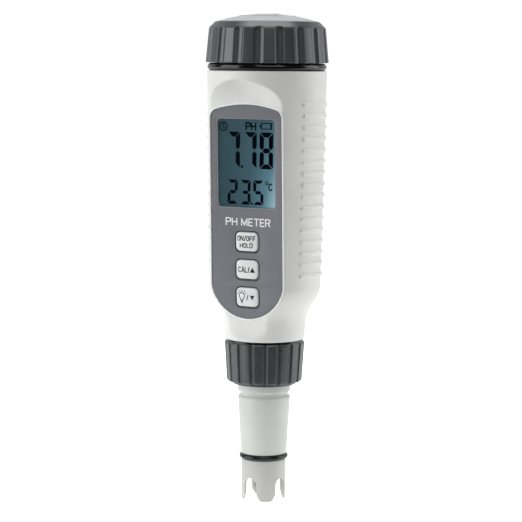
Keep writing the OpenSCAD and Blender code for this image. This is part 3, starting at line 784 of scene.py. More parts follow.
def closed_bead(name, body, loop, radius, sides=12):
    """Low oval bead along a closed loop on the display face."""
    n = len(loop)
    rings = []
    for i in range(n):
        a, b = Vector(loop[i - 1]), Vector(loop[(i + 1) % n])
        along = (b - a).normalized()
        out = Vector((along.y, -along.x))
        ring = []
        for k in range(sides):
            angle = 2 * math.pi * k / sides
            x, y = Vector(loop[i]) + out * radius * math.cos(angle)
            ring.append(on_face(x, y, -radius * 0.8 * math.sin(angle)))
        rings.append(ring)
    verts, faces = stitched(rings, closed=True)
    return new_object(name, verts, faces, body, 80)


# ---------------------------------------------------------------- label, window and display


def build_label():
    holes = [window_loop(0.1, 0)] + [key_loop(z, 2 * KEY_GAP, KEY_GAP) for z in KEYS.values()]
    label = plate("label_plate", "housing", [overlay_loop(-0.2)] + holes, 0.12, RECESS, bevel=0.06)
    dress(label, "label", nodes=["front_overlay"])
    border = plate("window_border", "housing", [window_loop(0.7, 0.3), window_loop(0.2, 0.1)],
                   0.1, 0.15, bevel=0.02, rounds=1)
    dress(border, "window_border")
    shadow_rings, gap_shades = [], []
    for z in KEYS.values():
        w, h, c = KEY_W + 2 * KEY_GAP, KEY_H + 2 * KEY_GAP, KEY_CORNER + KEY_GAP
        # Painted shadow: a dark ring round each key hole, set right and down, where the key's shaded side
        # falls.
        wide = rect_loop(w + 0.44, h + 0.44, c + 0.22, 0.07, up(z) - 0.07)
        shadow_rings.append(plate("key_painted_shadow_ring", "housing", [wide, key_loop(z, 2 * KEY_GAP, KEY_GAP)],
                              0.1, 0.15, 0.02, 1))
        # Painted shade: dark rubber fills the gap behind each key so that it reads dark.
        gap_shades.append(plate("key_gap_painted_shade", "housing", [rect_loop(w - 0.04, h - 0.04, c, 0, up(z)),
                                                   key_loop(z, 0.12, 0)], 0.9, 1.7))
    dress(join("key_painted_shadow_rings", shadow_rings), "rubber")
    dress(join("key_gap_painted_shades", gap_shades), "rubber")


def build_window():
    """Clear pane with a flange, hollow behind so that the display film lies just under its front."""
    verts, faces = stitched(
        [[on_face(x, y, d) for x, y in rect_loop(w, h, c, 0, up(WINDOW_Z))] for w, h, c, d in (
            (20.4, 27.8, 1.1, 0.6), (20.4, 27.8, 1.1, 1.83),
            (21.4, 28.8, 1.5, 1.83), (21.6, 29.0, 1.6, 1.73), (21.6, 29.0, 1.6, 0.76),
            (21.5, 28.9, 1.5, 0.68), (20.62, 28.02, 1.2, 0.66), (20.6, 28.0, 1.2, 0.3),
            (20.5, 27.9, 1.15, 0.2), (20.3, 27.7, 1.05, 0.16))], capped=True)
    window = new_object("window_pane", verts, faces, "housing", 30)
    dress(window, "window", nodes=["display_window"])


SEGMENTS = {"2": "abged", "3": "abgcd", "5": "afgcd", "7": "abc", "8": "abcdefg"}


def segment_outline(kind, w, h, t, gap):
    """Outline of one of the seven segments of a digit w x h, origin at its top left, y down."""
    m, g, half = h / 2, gap, t / 2
    shapes = {
        "a": [(g, 0), (w - g, 0), (w - t - g / 2, t), (t + g / 2, t)],
        "d": [(g, h), (w - g, h), (w - t - g / 2, h - t), (t + g / 2, h - t)],
        "g": [(half + g, m), (t + g / 2, m - half), (w - t - g / 2, m - half), (w - half - g, m),
              (w - t - g / 2, m + half), (t + g / 2, m + half)],
        "f": [(0, g), (t, t + g / 2), (t, m - half - g / 2), (half, m - g), (0, m - half - g)],
        "e": [(0, h - g), (t, h - t - g / 2), (t, m + half + g / 2), (half, m + g), (0, m + half + g)],
    }
    mirrored = {"b": "f", "c": "e"}
    if kind in mirrored:
        return [(w - x, y) for x, y in shapes[mirrored[kind]]]
    return shapes[kind]


def lcd_digit(mark, x, y, w, h, t, gap):
    """Loops of one slightly slanted digit; (x, y) is its top left in window coordinates, y down."""
    return [[(x + px - DIGIT_SLANT * py, y + py) for px, py in segment_outline(kind, w, h, t, gap)]
            for kind in SEGMENTS[mark]]


def ring_loops(x, y, r, t, n=28):
    outer = arc(x, y, r, 0, 360 - 360 / n, n - 1)
    return [outer, arc(x, y, r - t, 0, 360 - 360 / n, n - 1)]


def stroke(points, t):
    """Loop round a poly-line stroke of width t, mitred at its corners."""
    left, right = [], []
    for i, p in enumerate(points):
        p = Vector(p)
        a = (p - Vector(points[i - 1])).normalized() if i else None
        b = (Vector(points[i + 1]) - p).normalized() if i < len(points) - 1 else None
        a, b = a or b, b or a
        middle = (a + b).normalized()
        normal = Vector((-middle.y, middle.x))
        reach = t / 2 / max(normal.dot(Vector((-a.y, a.x))), 0.3)
        left.append(tuple(p + normal * reach))
        right.append(tuple(p - normal * reach))
    return left + right[::-1]


LETTERS = {
    "P": [[(0, 0), (0, 1)], [(0, 0.04), (0.5, 0.04), (0.72, 0.16), (0.72, 0.4), (0.5, 0.52), (0, 0.52)]],
    "H": [[(0, 0), (0, 1)], [(0.72, 0), (0.72, 1)], [(0, 0.5), (0.72, 0.5)]],
    "M": [[(0, 1), (0, 0)], [(0, 0.02), (0.42, 0.86), (0.84, 0.02)], [(0.84, 0), (0.84, 1)]],
    "E": [[(0, 0), (0, 1)], [(0, 0.05), (0.6, 0.05)], [(0, 0.5), (0.54, 0.5)], [(0, 0.95), (0.6, 0.95)]],
    "T": [[(0, 0.05), (0.74, 0.05)], [(0.37, 0.05), (0.37, 1)]],
    "R": [[(0, 0), (0, 1)], [(0, 0.05), (0.48, 0.05), (0.68, 0.16), (0.68, 0.38), (0.48, 0.5), (0, 0.5)],
          [(0.34, 0.5), (0.7, 1)]],
    "O": [[(0.36, 0.03), (0.14, 0.14), (0.04, 0.36), (0.04, 0.64), (0.14, 0.86), (0.36, 0.97), (0.58, 0.86),
           (0.68, 0.64), (0.68, 0.36), (0.58, 0.14), (0.36, 0.03)]],
    "N": [[(0, 1), (0, 0)], [(0.02, 0.02), (0.66, 0.98)], [(0.68, 1), (0.68, 0)]],
    "F": [[(0, 0), (0, 1)], [(0, 0.05), (0.58, 0.05)], [(0, 0.5), (0.52, 0.5)]],
    "L": [[(0, 0), (0, 0.95), (0.56, 0.95)]],
    "D": [[(0, 0.04), (0.36, 0.04), (0.6, 0.2), (0.68, 0.5), (0.6, 0.8), (0.36, 0.96), (0, 0.96)],
          [(0, 0), (0, 1)]],
    "C": [[(0.66, 0.24), (0.54, 0.08), (0.34, 0.03), (0.12, 0.16), (0.04, 0.5), (0.12, 0.84), (0.34, 0.97),
           (0.54, 0.92), (0.66, 0.76)]],
    "A": [[(0, 1), (0.37, 0), (0.74, 1)], [(0.14, 0.66), (0.6, 0.66)]],
    "/": [[(0, 1.06), (0.36, -0.06)]],
}
ADVANCE = {"M": 1.12, " ": 0.5, "/": 0.56, "T": 0.94, "L": 0.8, "F": 0.84, "E": 0.82, "A": 1.0}


def lettering(words, x, y, size, t, squeeze=1.0):
    """Stroke loops of plain capital words from (x, y), their top left, y down; returns the end too."""
    loops = []
    for letter in words:
        for line in LETTERS.get(letter, []):
            loops.append(stroke([(x + px * size * squeeze, y + py * size) for px, py in line], t))
        x += ADVANCE.get(letter, 0.96) * size * squeeze
    return loops, x


def width_of(words, size, squeeze=1.0):
    return sum(ADVANCE.get(letter, 0.96) for letter in words) * size * squeeze - 0.24 * size * squeeze


def window_marks(loops):
    """Window coordinates (y down from the window's top edge) turned into face coordinates."""
    top = up(WINDOW_Z) + WINDOW_H / 2 + MARKS_UP
    return [[(x - MARKS_LEFT, top - y) for x, y in loop] for loop in loops]


def flat_marks(name, body, groups, depth0, depth1, material):
    """Thin printed or etched marks: each group is an outline with its holes, kept as its own plate."""
    parts = [plate(name, body, group, depth0, depth1) for group in groups]
    return dress(join(name, parts), material)


def build_display():
    pane = plate("lcd_pane", "housing",
                 [rect_loop(21.6, 31, 0.3, 0, up(WINDOW_Z), n=3)], 2.0, 2.75, bevel=0.05, rounds=1)
    back = plate("lcd_back_pane", "housing",
                 [rect_loop(21.6, 27.4, 0.3, 0, up(WINDOW_Z), n=3)], 2.76, 3.5, bevel=0.05, rounds=1)
    glass = dress(join("lcd_cell", [pane, back]), "lcd", nodes=["lcd_glass"])
    glass.data.shade_flat()
    film = plate("lcd_film", "housing", [rect_loop(20.3, 27.7, 1.05, 0, up(WINDOW_Z))],
                 FILM_FRONT, FILM_FRONT + 0.1)
    dress(film, "lcd")

    marks = []
    for mark, x in (("7", -6.35), ("7", -0.25), ("8", 5.35)):
        marks += [[loop] for loop in lcd_digit(mark, x, 4.1, 4.5 if mark == "7" else 4.9, 11.7, 1.55, 0.24)]
    marks.append([rect_loop(0.85, 0.85, 0.15, -1.3, 15.2)])
    for mark, x in (("2", -6.6), ("3", -1.85), ("5", 2.85)):
        marks += [[loop] for loop in lcd_digit(mark, x, 19.5, 3.7, 7.9, 1.05, 0.2)]
    marks.append([rect_loop(0.7, 0.7, 0.12, 2.2, 27.0)])
    marks.append(ring_loops(-8.0, 2.45, 1.5, 0.38))
    marks.append([stroke([(-8.0, 1.5), (-8.0, 2.6), (-7.4, 2.95)], 0.38)])
    for words, x in (("P", 0.35), ("H", 2.3)):
        marks += [[loop] for loop in lettering(words, x, 1.05, 2.45, 0.48, 0.86)[0]]
    marks.append([rect_loop(3.9, 2.1, 0.25, 7.75, 2.1), rect_loop(3.3, 1.5, 0.1, 7.75, 2.1)])
    marks.append([rect_loop(0.6, 2.1, 0.1, 9.5, 2.1)])
    marks.append([rect_loop(0.5, 1.0, 0.1, 5.65, 2.1)])
    marks.append(ring_loops(7.7, 20.3, 0.58, 0.27, 20))
    marks += [[loop] for loop in lettering("C", 8.4, 20.4, 2.2, 0.42, 0.86)[0]]
    flat_marks("lcd_segments", "housing", [window_marks(group) for group in marks],
               FILM_FRONT - 0.04, FILM_FRONT - 0.01, "segment")


# ---------------------------------------------------------------- keys


def build_key(name, z, label_groups):
    """Crowned key with a flange behind the face wall and a stem down to its carbon pill."""
    y = up(z)
    skin = [(KEY_W + 1.6, KEY_H + 1.6, 2.3, KEY_BACK), (KEY_W + 1.6, KEY_H + 1.6, 2.3, FACE_WALL + 0.05),
            (KEY_W - 0.05, KEY_H - 0.05, KEY_CORNER, FACE_WALL + 0.05), (KEY_W, KEY_H, KEY_CORNER, 1.7)]
    for k in range(9):
        a = math.radians(10 * k + 5)
        inset = KEY_EDGE * (1 - math.cos(a))
        skin.append((KEY_W - 2 * inset, KEY_H - 2 * inset, KEY_CORNER - 0.6 * inset,
                     0.34 - 0.46 * math.sin(a)))
    loops = [[on_face(px, py, d) for px, py in rect_loop(w, h, c, 0, y)] for w, h, c, d in skin]
    crown_z = skin[-1][3]
    for scale in (0.85, 0.68, 0.5, 0.3, 0.12):
        loop = rect_loop(KEY_W - 2 * KEY_EDGE, KEY_H - 2 * KEY_EDGE, KEY_CORNER - 0.4)
        depth = crown_z - (KEY_PROUD + crown_z) * (1 - scale ** 2)
        loops.append([on_face(px * scale, y + py * scale, depth) for px, py in loop])
    loops.append([on_face(0, y, -KEY_PROUD)])
    stem = [[on_face(KEY_STEM_R * math.cos(a), y + KEY_STEM_R * math.sin(a), d) for a in
             (2 * math.pi * k / 36 for k in range(36))] for d in (KEY_STEM_END, KEY_BACK)]
    verts, faces = stitched([[on_face(0, y, KEY_STEM_END)]] + stem)
    tail = len(verts)
    skin_verts, skin_faces = stitched([[on_face(0, y, KEY_BACK)]] + loops)
    faces += [tuple(i + tail for i in face) for face in skin_faces]
    key = new_object(name + "_cap", verts + skin_verts, faces, name, 50)
    dress(key, "key_plastic", nodes=[name])
    groups = [[[(x, y - v) for x, v in loop] for loop in group] for group in label_groups]
    parts = [plate(name + "_print", name, group, 0.0, 0.012) for group in groups]
    mark = join(name + "_print", parts)
    rest_on_crown(mark, y, crown_z)
    dress(mark, "print_dark")


def rest_on_crown(mark, y, crown_z):
    """Bends flat printed marks over the key's crown, a hair above it."""
    half_w, half_h = KEY_W / 2 - KEY_EDGE, KEY_H / 2 - KEY_EDGE
    inward = Vector(on_face(0, 0, 1)) - Vector(on_face(0, 0, 0))
    centre = Vector(on_face(0, y, 0))
    upward = Vector(on_face(0, 1, 0)) - Vector(on_face(0, 0, 0))
    bm = bmesh.new()
    bm.from_mesh(mark.data)
    bmesh.ops.triangulate(bm, faces=bm.faces)
    for _ in range(2):
        long = [e for e in bm.edges if e.calc_length() > 0.5 * MM]
        bmesh.ops.subdivide_edges(bm, edges=long, cuts=1)
        bmesh.ops.triangulate(bm, faces=bm.faces)
    for v in bm.verts:
        p = v.co / MM - centre
        scale = min(1.0, max(abs(p.x) / half_w, abs(p.dot(upward)) / half_h))
        depth = crown_z - (KEY_PROUD + crown_z) * (1 - scale ** 2)
        layer = p.dot(inward)
        v.co = (v.co / MM + inward * (depth - 0.008 + layer - 0.004)) * MM
    bm.to_mesh(mark.data)
    bm.free()


def triangle(x, y, w, h, down=False):
    tip = h / 2 if down else -h / 2
    return [(x - w / 2, y - tip), (x + w / 2, y - tip), (x, y + tip)]


def centred_words(words, y, size, t, squeeze):
    loops, _ = lettering(words, -width_of(words, size, squeeze) / 2, y, size, t, squeeze)
    return [[loop] for loop in loops]


def build_keys():
    power = centred_words("ON/OFF", -1.9, 1.6, 0.3, 0.84) + centred_words("HOLD", 0.35, 1.6, 0.3, 0.84)
    cal = [[loop] for loop in lettering("CAL/", -3.05, -0.85, 1.75, 0.32, 0.75)[0]]
    cal.append([triangle(2.15, 0.05, 1.75, 1.65)])
    x, y, r = -1.8, -0.45, 1.0
    bulb = arc(x, y, r, -235, 55, 16)
    light = [[stroke(bulb + [(x + 0.36, y + 1.5), (x - 0.36, y + 1.5), bulb[0]], 0.27)]]
    for k, half in enumerate((0.34, 0.3, 0.2)):
        light.append([stroke([(x - half, y + 1.78 + 0.28 * k), (x + half, y + 1.78 + 0.28 * k)], 0.24)])
    for a in (-150, -120, -90, -60, -30):
        c, s = math.cos(math.radians(a)), math.sin(math.radians(a))
        light.append([stroke([(x + 1.35 * c, y + 1.35 * s), (x + 1.95 * c, y + 1.95 * s)], 0.25)])
    light += [[loop] for loop in lettering("/", 0.05, -0.75, 1.6, 0.28, 0.8)[0]]
    light.append([triangle(2.0, 0.1, 1.6, 1.45, down=True)])
    build_key("key_power", KEYS["key_power"], power)
    build_key("key_cal", KEYS["key_cal"], cal)
    build_key("key_light", KEYS["key_light"], light)


def build_title():
    size, squeeze = 2.45, 0.97
    x = 0.5 - width_of("PH METER", size, squeeze) / 2
    loops, _ = lettering("PH METER", x, 0, size, 0.4, squeeze)
    top = up(92.25) + size / 2
    groups = [[[(px, top - py) for px, py in loop]] for loop in loops]
    flat_marks("label_print", "housing", groups, 0.078, 0.105, "print_white")


# ---------------------------------------------------------------- battery cap and collar


def flute_r(r, turn, axis_r, tool_r, first):
    """Radius left by the round flute tool whose axis stands at axis_r; first is the first flute's turn."""
    pitch = 360 / FLUTES
    delta = math.radians((turn - first + pitch / 2) % pitch - pitch / 2)
    side = axis_r * math.sin(delta)
    if abs(side) >= tool_r:
        return r
    groove = axis_r * math.cos(delta) - math.sqrt(tool_r ** 2 - side ** 2)
    return smooth_min(r, groove, 0.16)


def fluted_turns(first, half_angle):
    """Columns for one flute pitch, crowded at the flute's edges, repeated all round."""
    marks = [0.0, 0.25, 0.5, 0.7, 0.84, 0.93, 1.0, 1.07, 1.18, 1.4]
    offsets = sorted({s * m * half_angle for m in marks for s in (-1, 1)} | {-180 / FLUTES})
    return [first + 360 * i / FLUTES + d for i in range(FLUTES) for d in offsets]


def cap_tool(z):
    """Flute tool of the cap at height z: its axis leans with the wall and it ends in a ball."""
    ball_z, tool_r = 153.45, 2.2
    axis_r = 21.6 - (z - 141) * math.tan(math.radians(5.34))
    if z > ball_z:
        reach = tool_r ** 2 - (z - ball_z) ** 2
        return axis_r, math.sqrt(reach) if reach > 0 else 0.0
    return axis_r, tool_r


def build_battery_cap():
    turns = fluted_turns(CAP_FLUTE_TURN, 4.9)
    wall = [(20.0, 143.6, 0.0), (19.0, 154.2, 0.5), (18.7, 154.65, 0.5), (16.95, 156.35, 0.25),
            (DOME_EDGE_R, DOME_EDGE_Z, 0.0)]
    dense = [(20 - (z - 143.5) / 10.7, z) for z in [143.6 + 1.1 * i for i in range(8)]]
    dense += [(20 - (z - 143.5) / 10.7, z) for z in [151.9 + 0.18 * i for i in range(12)]]
    shoulder = split_long([(r, z) for r, z in rounded_path(wall, 6) if z > 154.0], 0.25)[:-1]
    rings = []
    for r, z in [(19.72, CAP_Z0), (19.88, CAP_Z0 + 0.06), (19.97, CAP_Z0 + 0.2)] + dense + shoulder:
        axis_r, tool_r = cap_tool(z)
        rings.append([turn_point(flute_r(r, t, axis_r, tool_r, CAP_FLUTE_TURN) if tool_r else r, t, z)
                      for t in turns])
    inside = [(DOME_EDGE_R, DOME_EDGE_Z), (DOME_EDGE_R - 0.15, DOME_EDGE_Z + 0.06)]
    inside += [(r, dome_z(r)) for r in (16.0, 15.4, 14.85)]
    inside += [(DOME_SEAT_R + 0.08, dome_z(DOME_SEAT_R) - 0.05), (DOME_SEAT_R, dome_z(DOME_SEAT_R) - 0.25),
               (DOME_SEAT_R, DOME_SEAT_Z), (4.2, DOME_SEAT_Z), (1.22, DOME_SEAT_Z), (1.22, 148.85),
               (4.0, 148.85), (4.2, 149.05), (4.2, CAP_DECK_Z - 0.3), (4.5, CAP_DECK_Z),
               (CAP_BORE_R - 0.4, CAP_DECK_Z), (CAP_BORE_R, CAP_DECK_Z - 0.4), (CAP_BORE_R, 148),
               (CAP_BORE_R, CAP_Z0 + 0.5), (CAP_BORE_R + 0.35, CAP_Z0 + 0.05), (CAP_BORE_R + 0.45, CAP_Z0)]
    rings += [[turn_point(r, t, z) for t in turns] for r, z in inside]
    verts, faces = stitched(rings, closed=True)
    shell = new_object("cap_shell", verts, faces, "battery_cap", 70)
    dress(shell, "cap_plastic", nodes=["battery_cap"])
    inner = thread("cap_inner_thread", "battery_cap", CAP_BORE_R, CAP_BORE_R - 0.34, 144.4, 150.4, CAP_PITCH,
                   1.0, phase=CAP_THREAD_TURN)
    dress(inner, "dark_plastic")
    outer = thread("neck_thread", "housing", 16.9, 17.2, 143.3, 149.8, CAP_PITCH, 1.0)
    dress(outer, "body_plastic")


def dome_z(r):
    """Height of the cap's domed top at radius r."""
    dome_r = (DOME_EDGE_R ** 2 + (CAP_TOP_Z - DOME_EDGE_Z) ** 2) / (2 * (CAP_TOP_Z - DOME_EDGE_Z))
    return CAP_TOP_Z - dome_r + math.sqrt(dome_r ** 2 - r ** 2)


def build_cap_dome():
    edge = DOME_SEAT_R - 0.15
    top = [(0, CAP_TOP_Z, 0.0)] + [(edge * k / 12, dome_z(edge * k / 12), 0.0) for k in range(1, 12)]
    top += [(edge - 0.35, dome_z(edge - 0.35), 0.0), (edge - 0.12, dome_z(edge) - 0.02, 0.0),
            (edge, dome_z(edge) - 0.16, 0.0), (edge, DOME_SEAT_Z + 0.02, 0.1),
            (edge - 1.6, DOME_SEAT_Z + 0.02, 0.1)]
    under = [((edge - 1.6) * k / 8, dome_z((edge - 1.6) * k / 8) - 1.6, 0.0) for k in range(7, -1, -1)]
    dome = lathe("cap_dome_shell", "battery_cap", top + under, closed=False)
    dress(dome, "dome_plastic", nodes=["cap_dome"])
    loops = [raised_arrow(start) for start in (20, 200)] + battery_mark()
    dress(join("cap_marks", [on_dome("cap_mark", loop) for loop in loops]), "dome_plastic")


def raised_arrow(start):
    """Loop of a curved arrow round the dome, its head leading anticlockwise."""
    r, half, barb = 9.0, 0.35, 1.3
    end = start + 118
    head = [arc(0, 0, radius, turn, turn, 1)[0]
            for radius, turn in ((r + barb, end), (r, end + 12), (r - barb, end))]
    return arc(0, 0, r + half, start, end, 24) + head + arc(0, 0, r - half, end, start, 24)


def battery_mark():
    """Plain battery sign: a long case and its terminal."""
    return [stroke([(-3.4, -1.5), (3.0, -1.5), (3.0, 1.5), (-3.4, 1.5), (-3.4, -1.5)], 0.5),
            rect_loop(0.6, 1.4, 0.2, 3.8, 0, n=3)]


def on_dome(name, loop):
    """Low raised mark over a loop in plan, following the dome."""
    heights = [dome_z(math.hypot(x, y)) for x, y in loop]
    verts = [(x, y, z - 0.2) for (x, y), z in zip(loop, heights)]
    verts += [(x * 0.995, y * 0.995, min(z + 0.16, CAP_TOP_Z)) for (x, y), z in zip(loop, heights)]
    n = len(loop)
    faces = [(i, (i + 1) % n, n + (i + 1) % n, n + i) for i in range(n)]
    faces.append(tuple(range(n, 2 * n)))
    faces.append(tuple(range(n - 1, -1, -1)))
    return new_object(name, verts, faces, "battery_cap", 30)


def build_collar():
    low_r, top_r, tool_r, depth = 12.26, 13.1, 1.05, 0.6
    lean = (top_r - low_r) / (COLLAR_Z1 - COLLAR_Z0)

    def groove(r, turn, z):
        axis_r = low_r + tool_r - depth + lean * (z - COLLAR_Z0)
        return flute_r(r, turn, axis_r, tool_r, COLLAR_FLUTE_TURN)

    turns = fluted_turns(COLLAR_FLUTE_TURN, 4.4)
    outer = [(COLLAR_FOOT_R, COLLAR_Z0, 0.25), (COLLAR_FOOT_R, COLLAR_FOOT_Z, 0.05),
             (low_r - 0.35, COLLAR_FOOT_Z, 0.1), (low_r, COLLAR_FOOT_Z + 0.35, 0.2),
             (top_r - 0.06, COLLAR_RIM_Z - 0.5, 0.3), (top_r - 0.4, COLLAR_RIM_Z, 0.15),
             (COLLAR_RIM_R, COLLAR_RIM_Z, 0.02), (COLLAR_RIM_R, COLLAR_Z1, 0.05)]
    inner = [(COLLAR_BORE_R + 0.25, COLLAR_Z1, 0.0), (COLLAR_BORE_R, COLLAR_Z1 - 0.3, 0.0),
             (COLLAR_BORE_R, 41.0, 0.0), (8.95, 41.0, 0.0), (8.95, COLLAR_Z0 + 0.2, 0.0),
             (9.15, COLLAR_Z0, 0.0)]
    path = split_long(rounded_path([(9.15, COLLAR_Z0, 0.0)] + outer + inner[:1], 5)[1:-1], 1.0)
    fluted_from_r = 11.3
    rings = []
    for r, z in path:
        fluted = z > COLLAR_FOOT_Z - 0.01 and r > fluted_from_r
        rings.append([turn_point(groove(r, t, z) if fluted else r, t, z) for t in turns])
    rings += [[turn_point(r, t, z) for t in turns] for r, z, _ in inner]
    verts, faces = stitched(rings, closed=True)
    shell = new_object("collar_shell", verts, faces, "collar_nut", 70)
    dress(shell, "dark_plastic", nodes=["collar_nut"])
    # Painted shade: a black ring fills the gap above the collar so that it reads dark.
    seal = lathe("collar_gap_painted_shade", "collar_nut", [
        (COLLAR_RIM_R - 0.1, COLLAR_RIM_Z - 0.1, 0.0), (COLLAR_RIM_R + 0.5, COLLAR_RIM_Z - 0.1, 0.0),
        (COLLAR_RIM_R + 0.5, COLLAR_Z1 - 0.02, 0.1), (COLLAR_RIM_R - 0.1, COLLAR_Z1 - 0.02, 0.1)])
    dress(seal, "rubber")
    ridge = thread("collar_inner_thread", "collar_nut", COLLAR_BORE_R, COLLAR_BORE_R - 0.32, 43.0, 52.4,
                   COLLAR_PITCH, 0.8, phase=COLLAR_THREAD_TURN)
    dress(ridge, "dark_plastic")


# ---------------------------------------------------------------- electrode


def build_electrode():
    barrel = lathe("barrel_shell", "electrode", [
        (6.35, 15.42, 0.05), (7.3, 15.42, 0.15), (7.5, 15.6, 0.12), (8.55, 34.05, 0.28), (8.35, 34.5, 0.15),
        (7.8, 34.85, 0.12), (7.8, 35.75, 0.12), (8.55, 36.1, 0.12), (8.7, 36.3, 0.12), (8.7, 41.35, 0.05),
        (10.55, 41.35, 0.1), (10.55, 42.8, 0.1), (8.9, 42.8, 0.05), (8.9, 45.5, 0.05), (7.75, 45.5, 0.1),
        (7.75, 47.1, 0.1), (8.9, 47.1, 0.05), (8.9, 48.8, 0.2), (6.95, 48.8, 0.1), (6.95, 42.5, 0.0),
        (6.35, 42.5, 0.0)], segments=144)
    dress(barrel, "barrel_plastic", nodes=["electrode_barrel"])
    build_guard()
    for name, node, r, section, z in (("lower_seal", "lower_oring", 7.2, 0.84, 14.5),
                                      ("stem_seal", "stem_oring", 8.44, 0.68, 46.3)):
        dress(torus(name, "electrode", r, section, z), "rubber", nodes=[node])
    bulb_z, bulb_r, tube_r, shell = 5.0, 3.0, 2.5, 0.3
    top_a = math.degrees(math.acos(tube_r / bulb_r))
    outer = [(r, z, 0.0) for r, z in arc(0, bulb_z, bulb_r, -90, top_a - 8, 22)]
    outer += [(tube_r, bulb_z + bulb_r * math.sin(math.radians(top_a)) + 0.1, 0.6), (tube_r, 40, 0.1)]
    inner_a = math.degrees(math.acos((tube_r - 0.5) / (bulb_r - shell)))
    inner = [(tube_r - 0.5, 40, 0.1)]
    inner += [(r, z, 0.0) for r, z in arc(0, bulb_z, bulb_r - shell, inner_a, -90, 22)]
    outer[0] = (0, bulb_z - bulb_r, 0.0)
    inner[-1] = (0, bulb_z - bulb_r + shell, 0.0)
    bulb = lathe("glass_bulb", "electrode", outer + inner, segments=72, closed=False, sharp=50)
    dress(bulb, "glass", nodes=["glass_electrode"])


def slot_cutter(turn):
    """Cutter for one guard slot: flared at the tips and round at the top."""
    w, top = 2.35, 5.3
    loop = [(-w - 1.24, -0.05), (w + 1.24, -0.05), (w + 0.35, 1.6), (w + 0.05, 2.2), (w, 2.6)]
    loop += arc(0, top, w, 0, 180, 24)
    loop += [(-w, 2.6), (-w - 0.05, 2.2), (-w - 0.35, 1.6)]
    along = Vector(turn_point(1, turn, 0))
    across = Vector(turn_point(1, turn + 90, 0))
    return cutter("cut_slot", [[tuple(along * d + across * x + Vector((0, 0, z))) for x, z in loop]
                               for d in (4.0, 10.0)])


def pin_cutter(turn, r, z0, z1):
    """Cutter for a round hole beside the axis, for the probe or the junction."""
    loop = [(r * math.cos(2 * math.pi * k / 32), r * math.sin(2 * math.pi * k / 32)) for k in range(32)]
    x, y, _ = turn_point(SIDE_R, turn, 0)
    return cutter("cut_pin", [[(x + a, y + b, z) for a, b in loop] for z in (z0, z1)])


def build_guard():
    guard = lathe("guard_shell", "electrode", [
        (6.45, 0.0, 0.1), (6.9, 0.0, 0.2), (7.2, 0.5, 0.5), (7.28, 7.8, 0.0), (7.28, 13.6, 0.25),
        (6.3, 13.6, 0.0),
        (6.3, 19.0, 0.0), (3.2, 19.0, 0.0), (3.2, 9.0, 0.1), (6.45, 9.0, 0.3)], segments=180)
    cutters = [slot_cutter(SLOT_TURN + 90 * i) for i in range(4)]
    cutters += [pin_cutter(JUNCTION_TURN, 0.93, 8, 20), pin_cutter(PROBE_TURN, 1.03, 8, 20)]
    cut(guard, cutters)
    soften(guard, 0.12)
    dress(guard, "guard_plastic", nodes=["sensor_guard"])


def soften(obj, width):
    """Rounds an object's sharp edges a little."""
    bm = bmesh.new()
    bm.from_mesh(obj.data)
    bmesh.ops.remove_doubles(bm, verts=bm.verts, dist=0.02 * MM)
    bmesh.ops.dissolve_limit(bm, angle_limit=math.radians(0.6), verts=bm.verts, edges=bm.edges)
    bm.to_mesh(obj.data)
    bm.free()
    mod = obj.modifiers.new("soften", "BEVEL")
    mod.width = width * MM
    mod.segments = 2
    mod.limit_method = "ANGLE"
    mod.angle_limit = math.radians(38)
    mod.harden_normals = False
    shade(obj, 34)


# ---------------------------------------------------------------- seals, cells and springs


def build_seals():
    seal = torus("cap_seal", "housing", 18.15, 1.2, 141.9, segments=200, sides=32)
    dress(seal, "rubber", nodes=["cap_oring"])


def cell_centre(k):
    """Axis of a cell in the row round the back."""
    a = math.radians((k - 1.5) * CELL_STEP)
    return (CELL_RING_R * math.sin(a), CELL_RING_R * math.cos(a))


def build_cells():
    for k in range(4):
        path = [(0, CELL_Z0, 0.0), (4.2, CELL_Z0, 0.1), (4.45, 100.25, 0.1), (5.13, 100.25, 0.3),
                (5.13, 143.55, 0.35), (4.6, 143.55, 0.1), (4.5, 143.4, 0.1), (1.9, 143.4, 0.05),
                (1.9, 144.48, 0.2), (0, 144.48, 0.0)]
        if k in (1, 3):
            path = [(r, CELL_Z0 + CELL_Z1 - z, f) for r, z, f in reversed(path)]
        cell = lathe("cell_%d" % (k + 1), "housing", path, segments=72, closed=False, centre=cell_centre(k))
        dress(cell, "cell", nodes=["battery_%d" % (k + 1)])


def spring(name, body, k, z_wide, z_tip):
    """Conical contact spring over cell k, from its wide end to its tip."""
    centre, wide_r, tip_r, coils = cell_centre(k), 3.6, 2.5, 3
    path = []
    count = coils * 28
    for i in range(count + 1):
        t = i / count
        a = 2 * math.pi * coils * t
        r = wide_r + (tip_r - wide_r) * t
        path.append((centre[0] + r * math.cos(a), centre[1] + r * math.sin(a), z_wide + (z_tip - z_wide) * t))
    return sweep(name, body, path, SPRING_WIRE_R)


def build_springs():
    low = [spring("tray_spring_%d" % k, "housing", k, 99.2, 99.74) for k in (0, 2)]
    dress(join("tray_springs", low), "steel", nodes=["lower_springs"])
    top = [spring("plate_spring_%d" % k, "contact_plate", k, 146.66, 144.85) for k in (1, 3)]
    dress(join("plate_springs", top), "steel", nodes=["contact_springs"])


# ---------------------------------------------------------------- CAD pieces that keep their shape

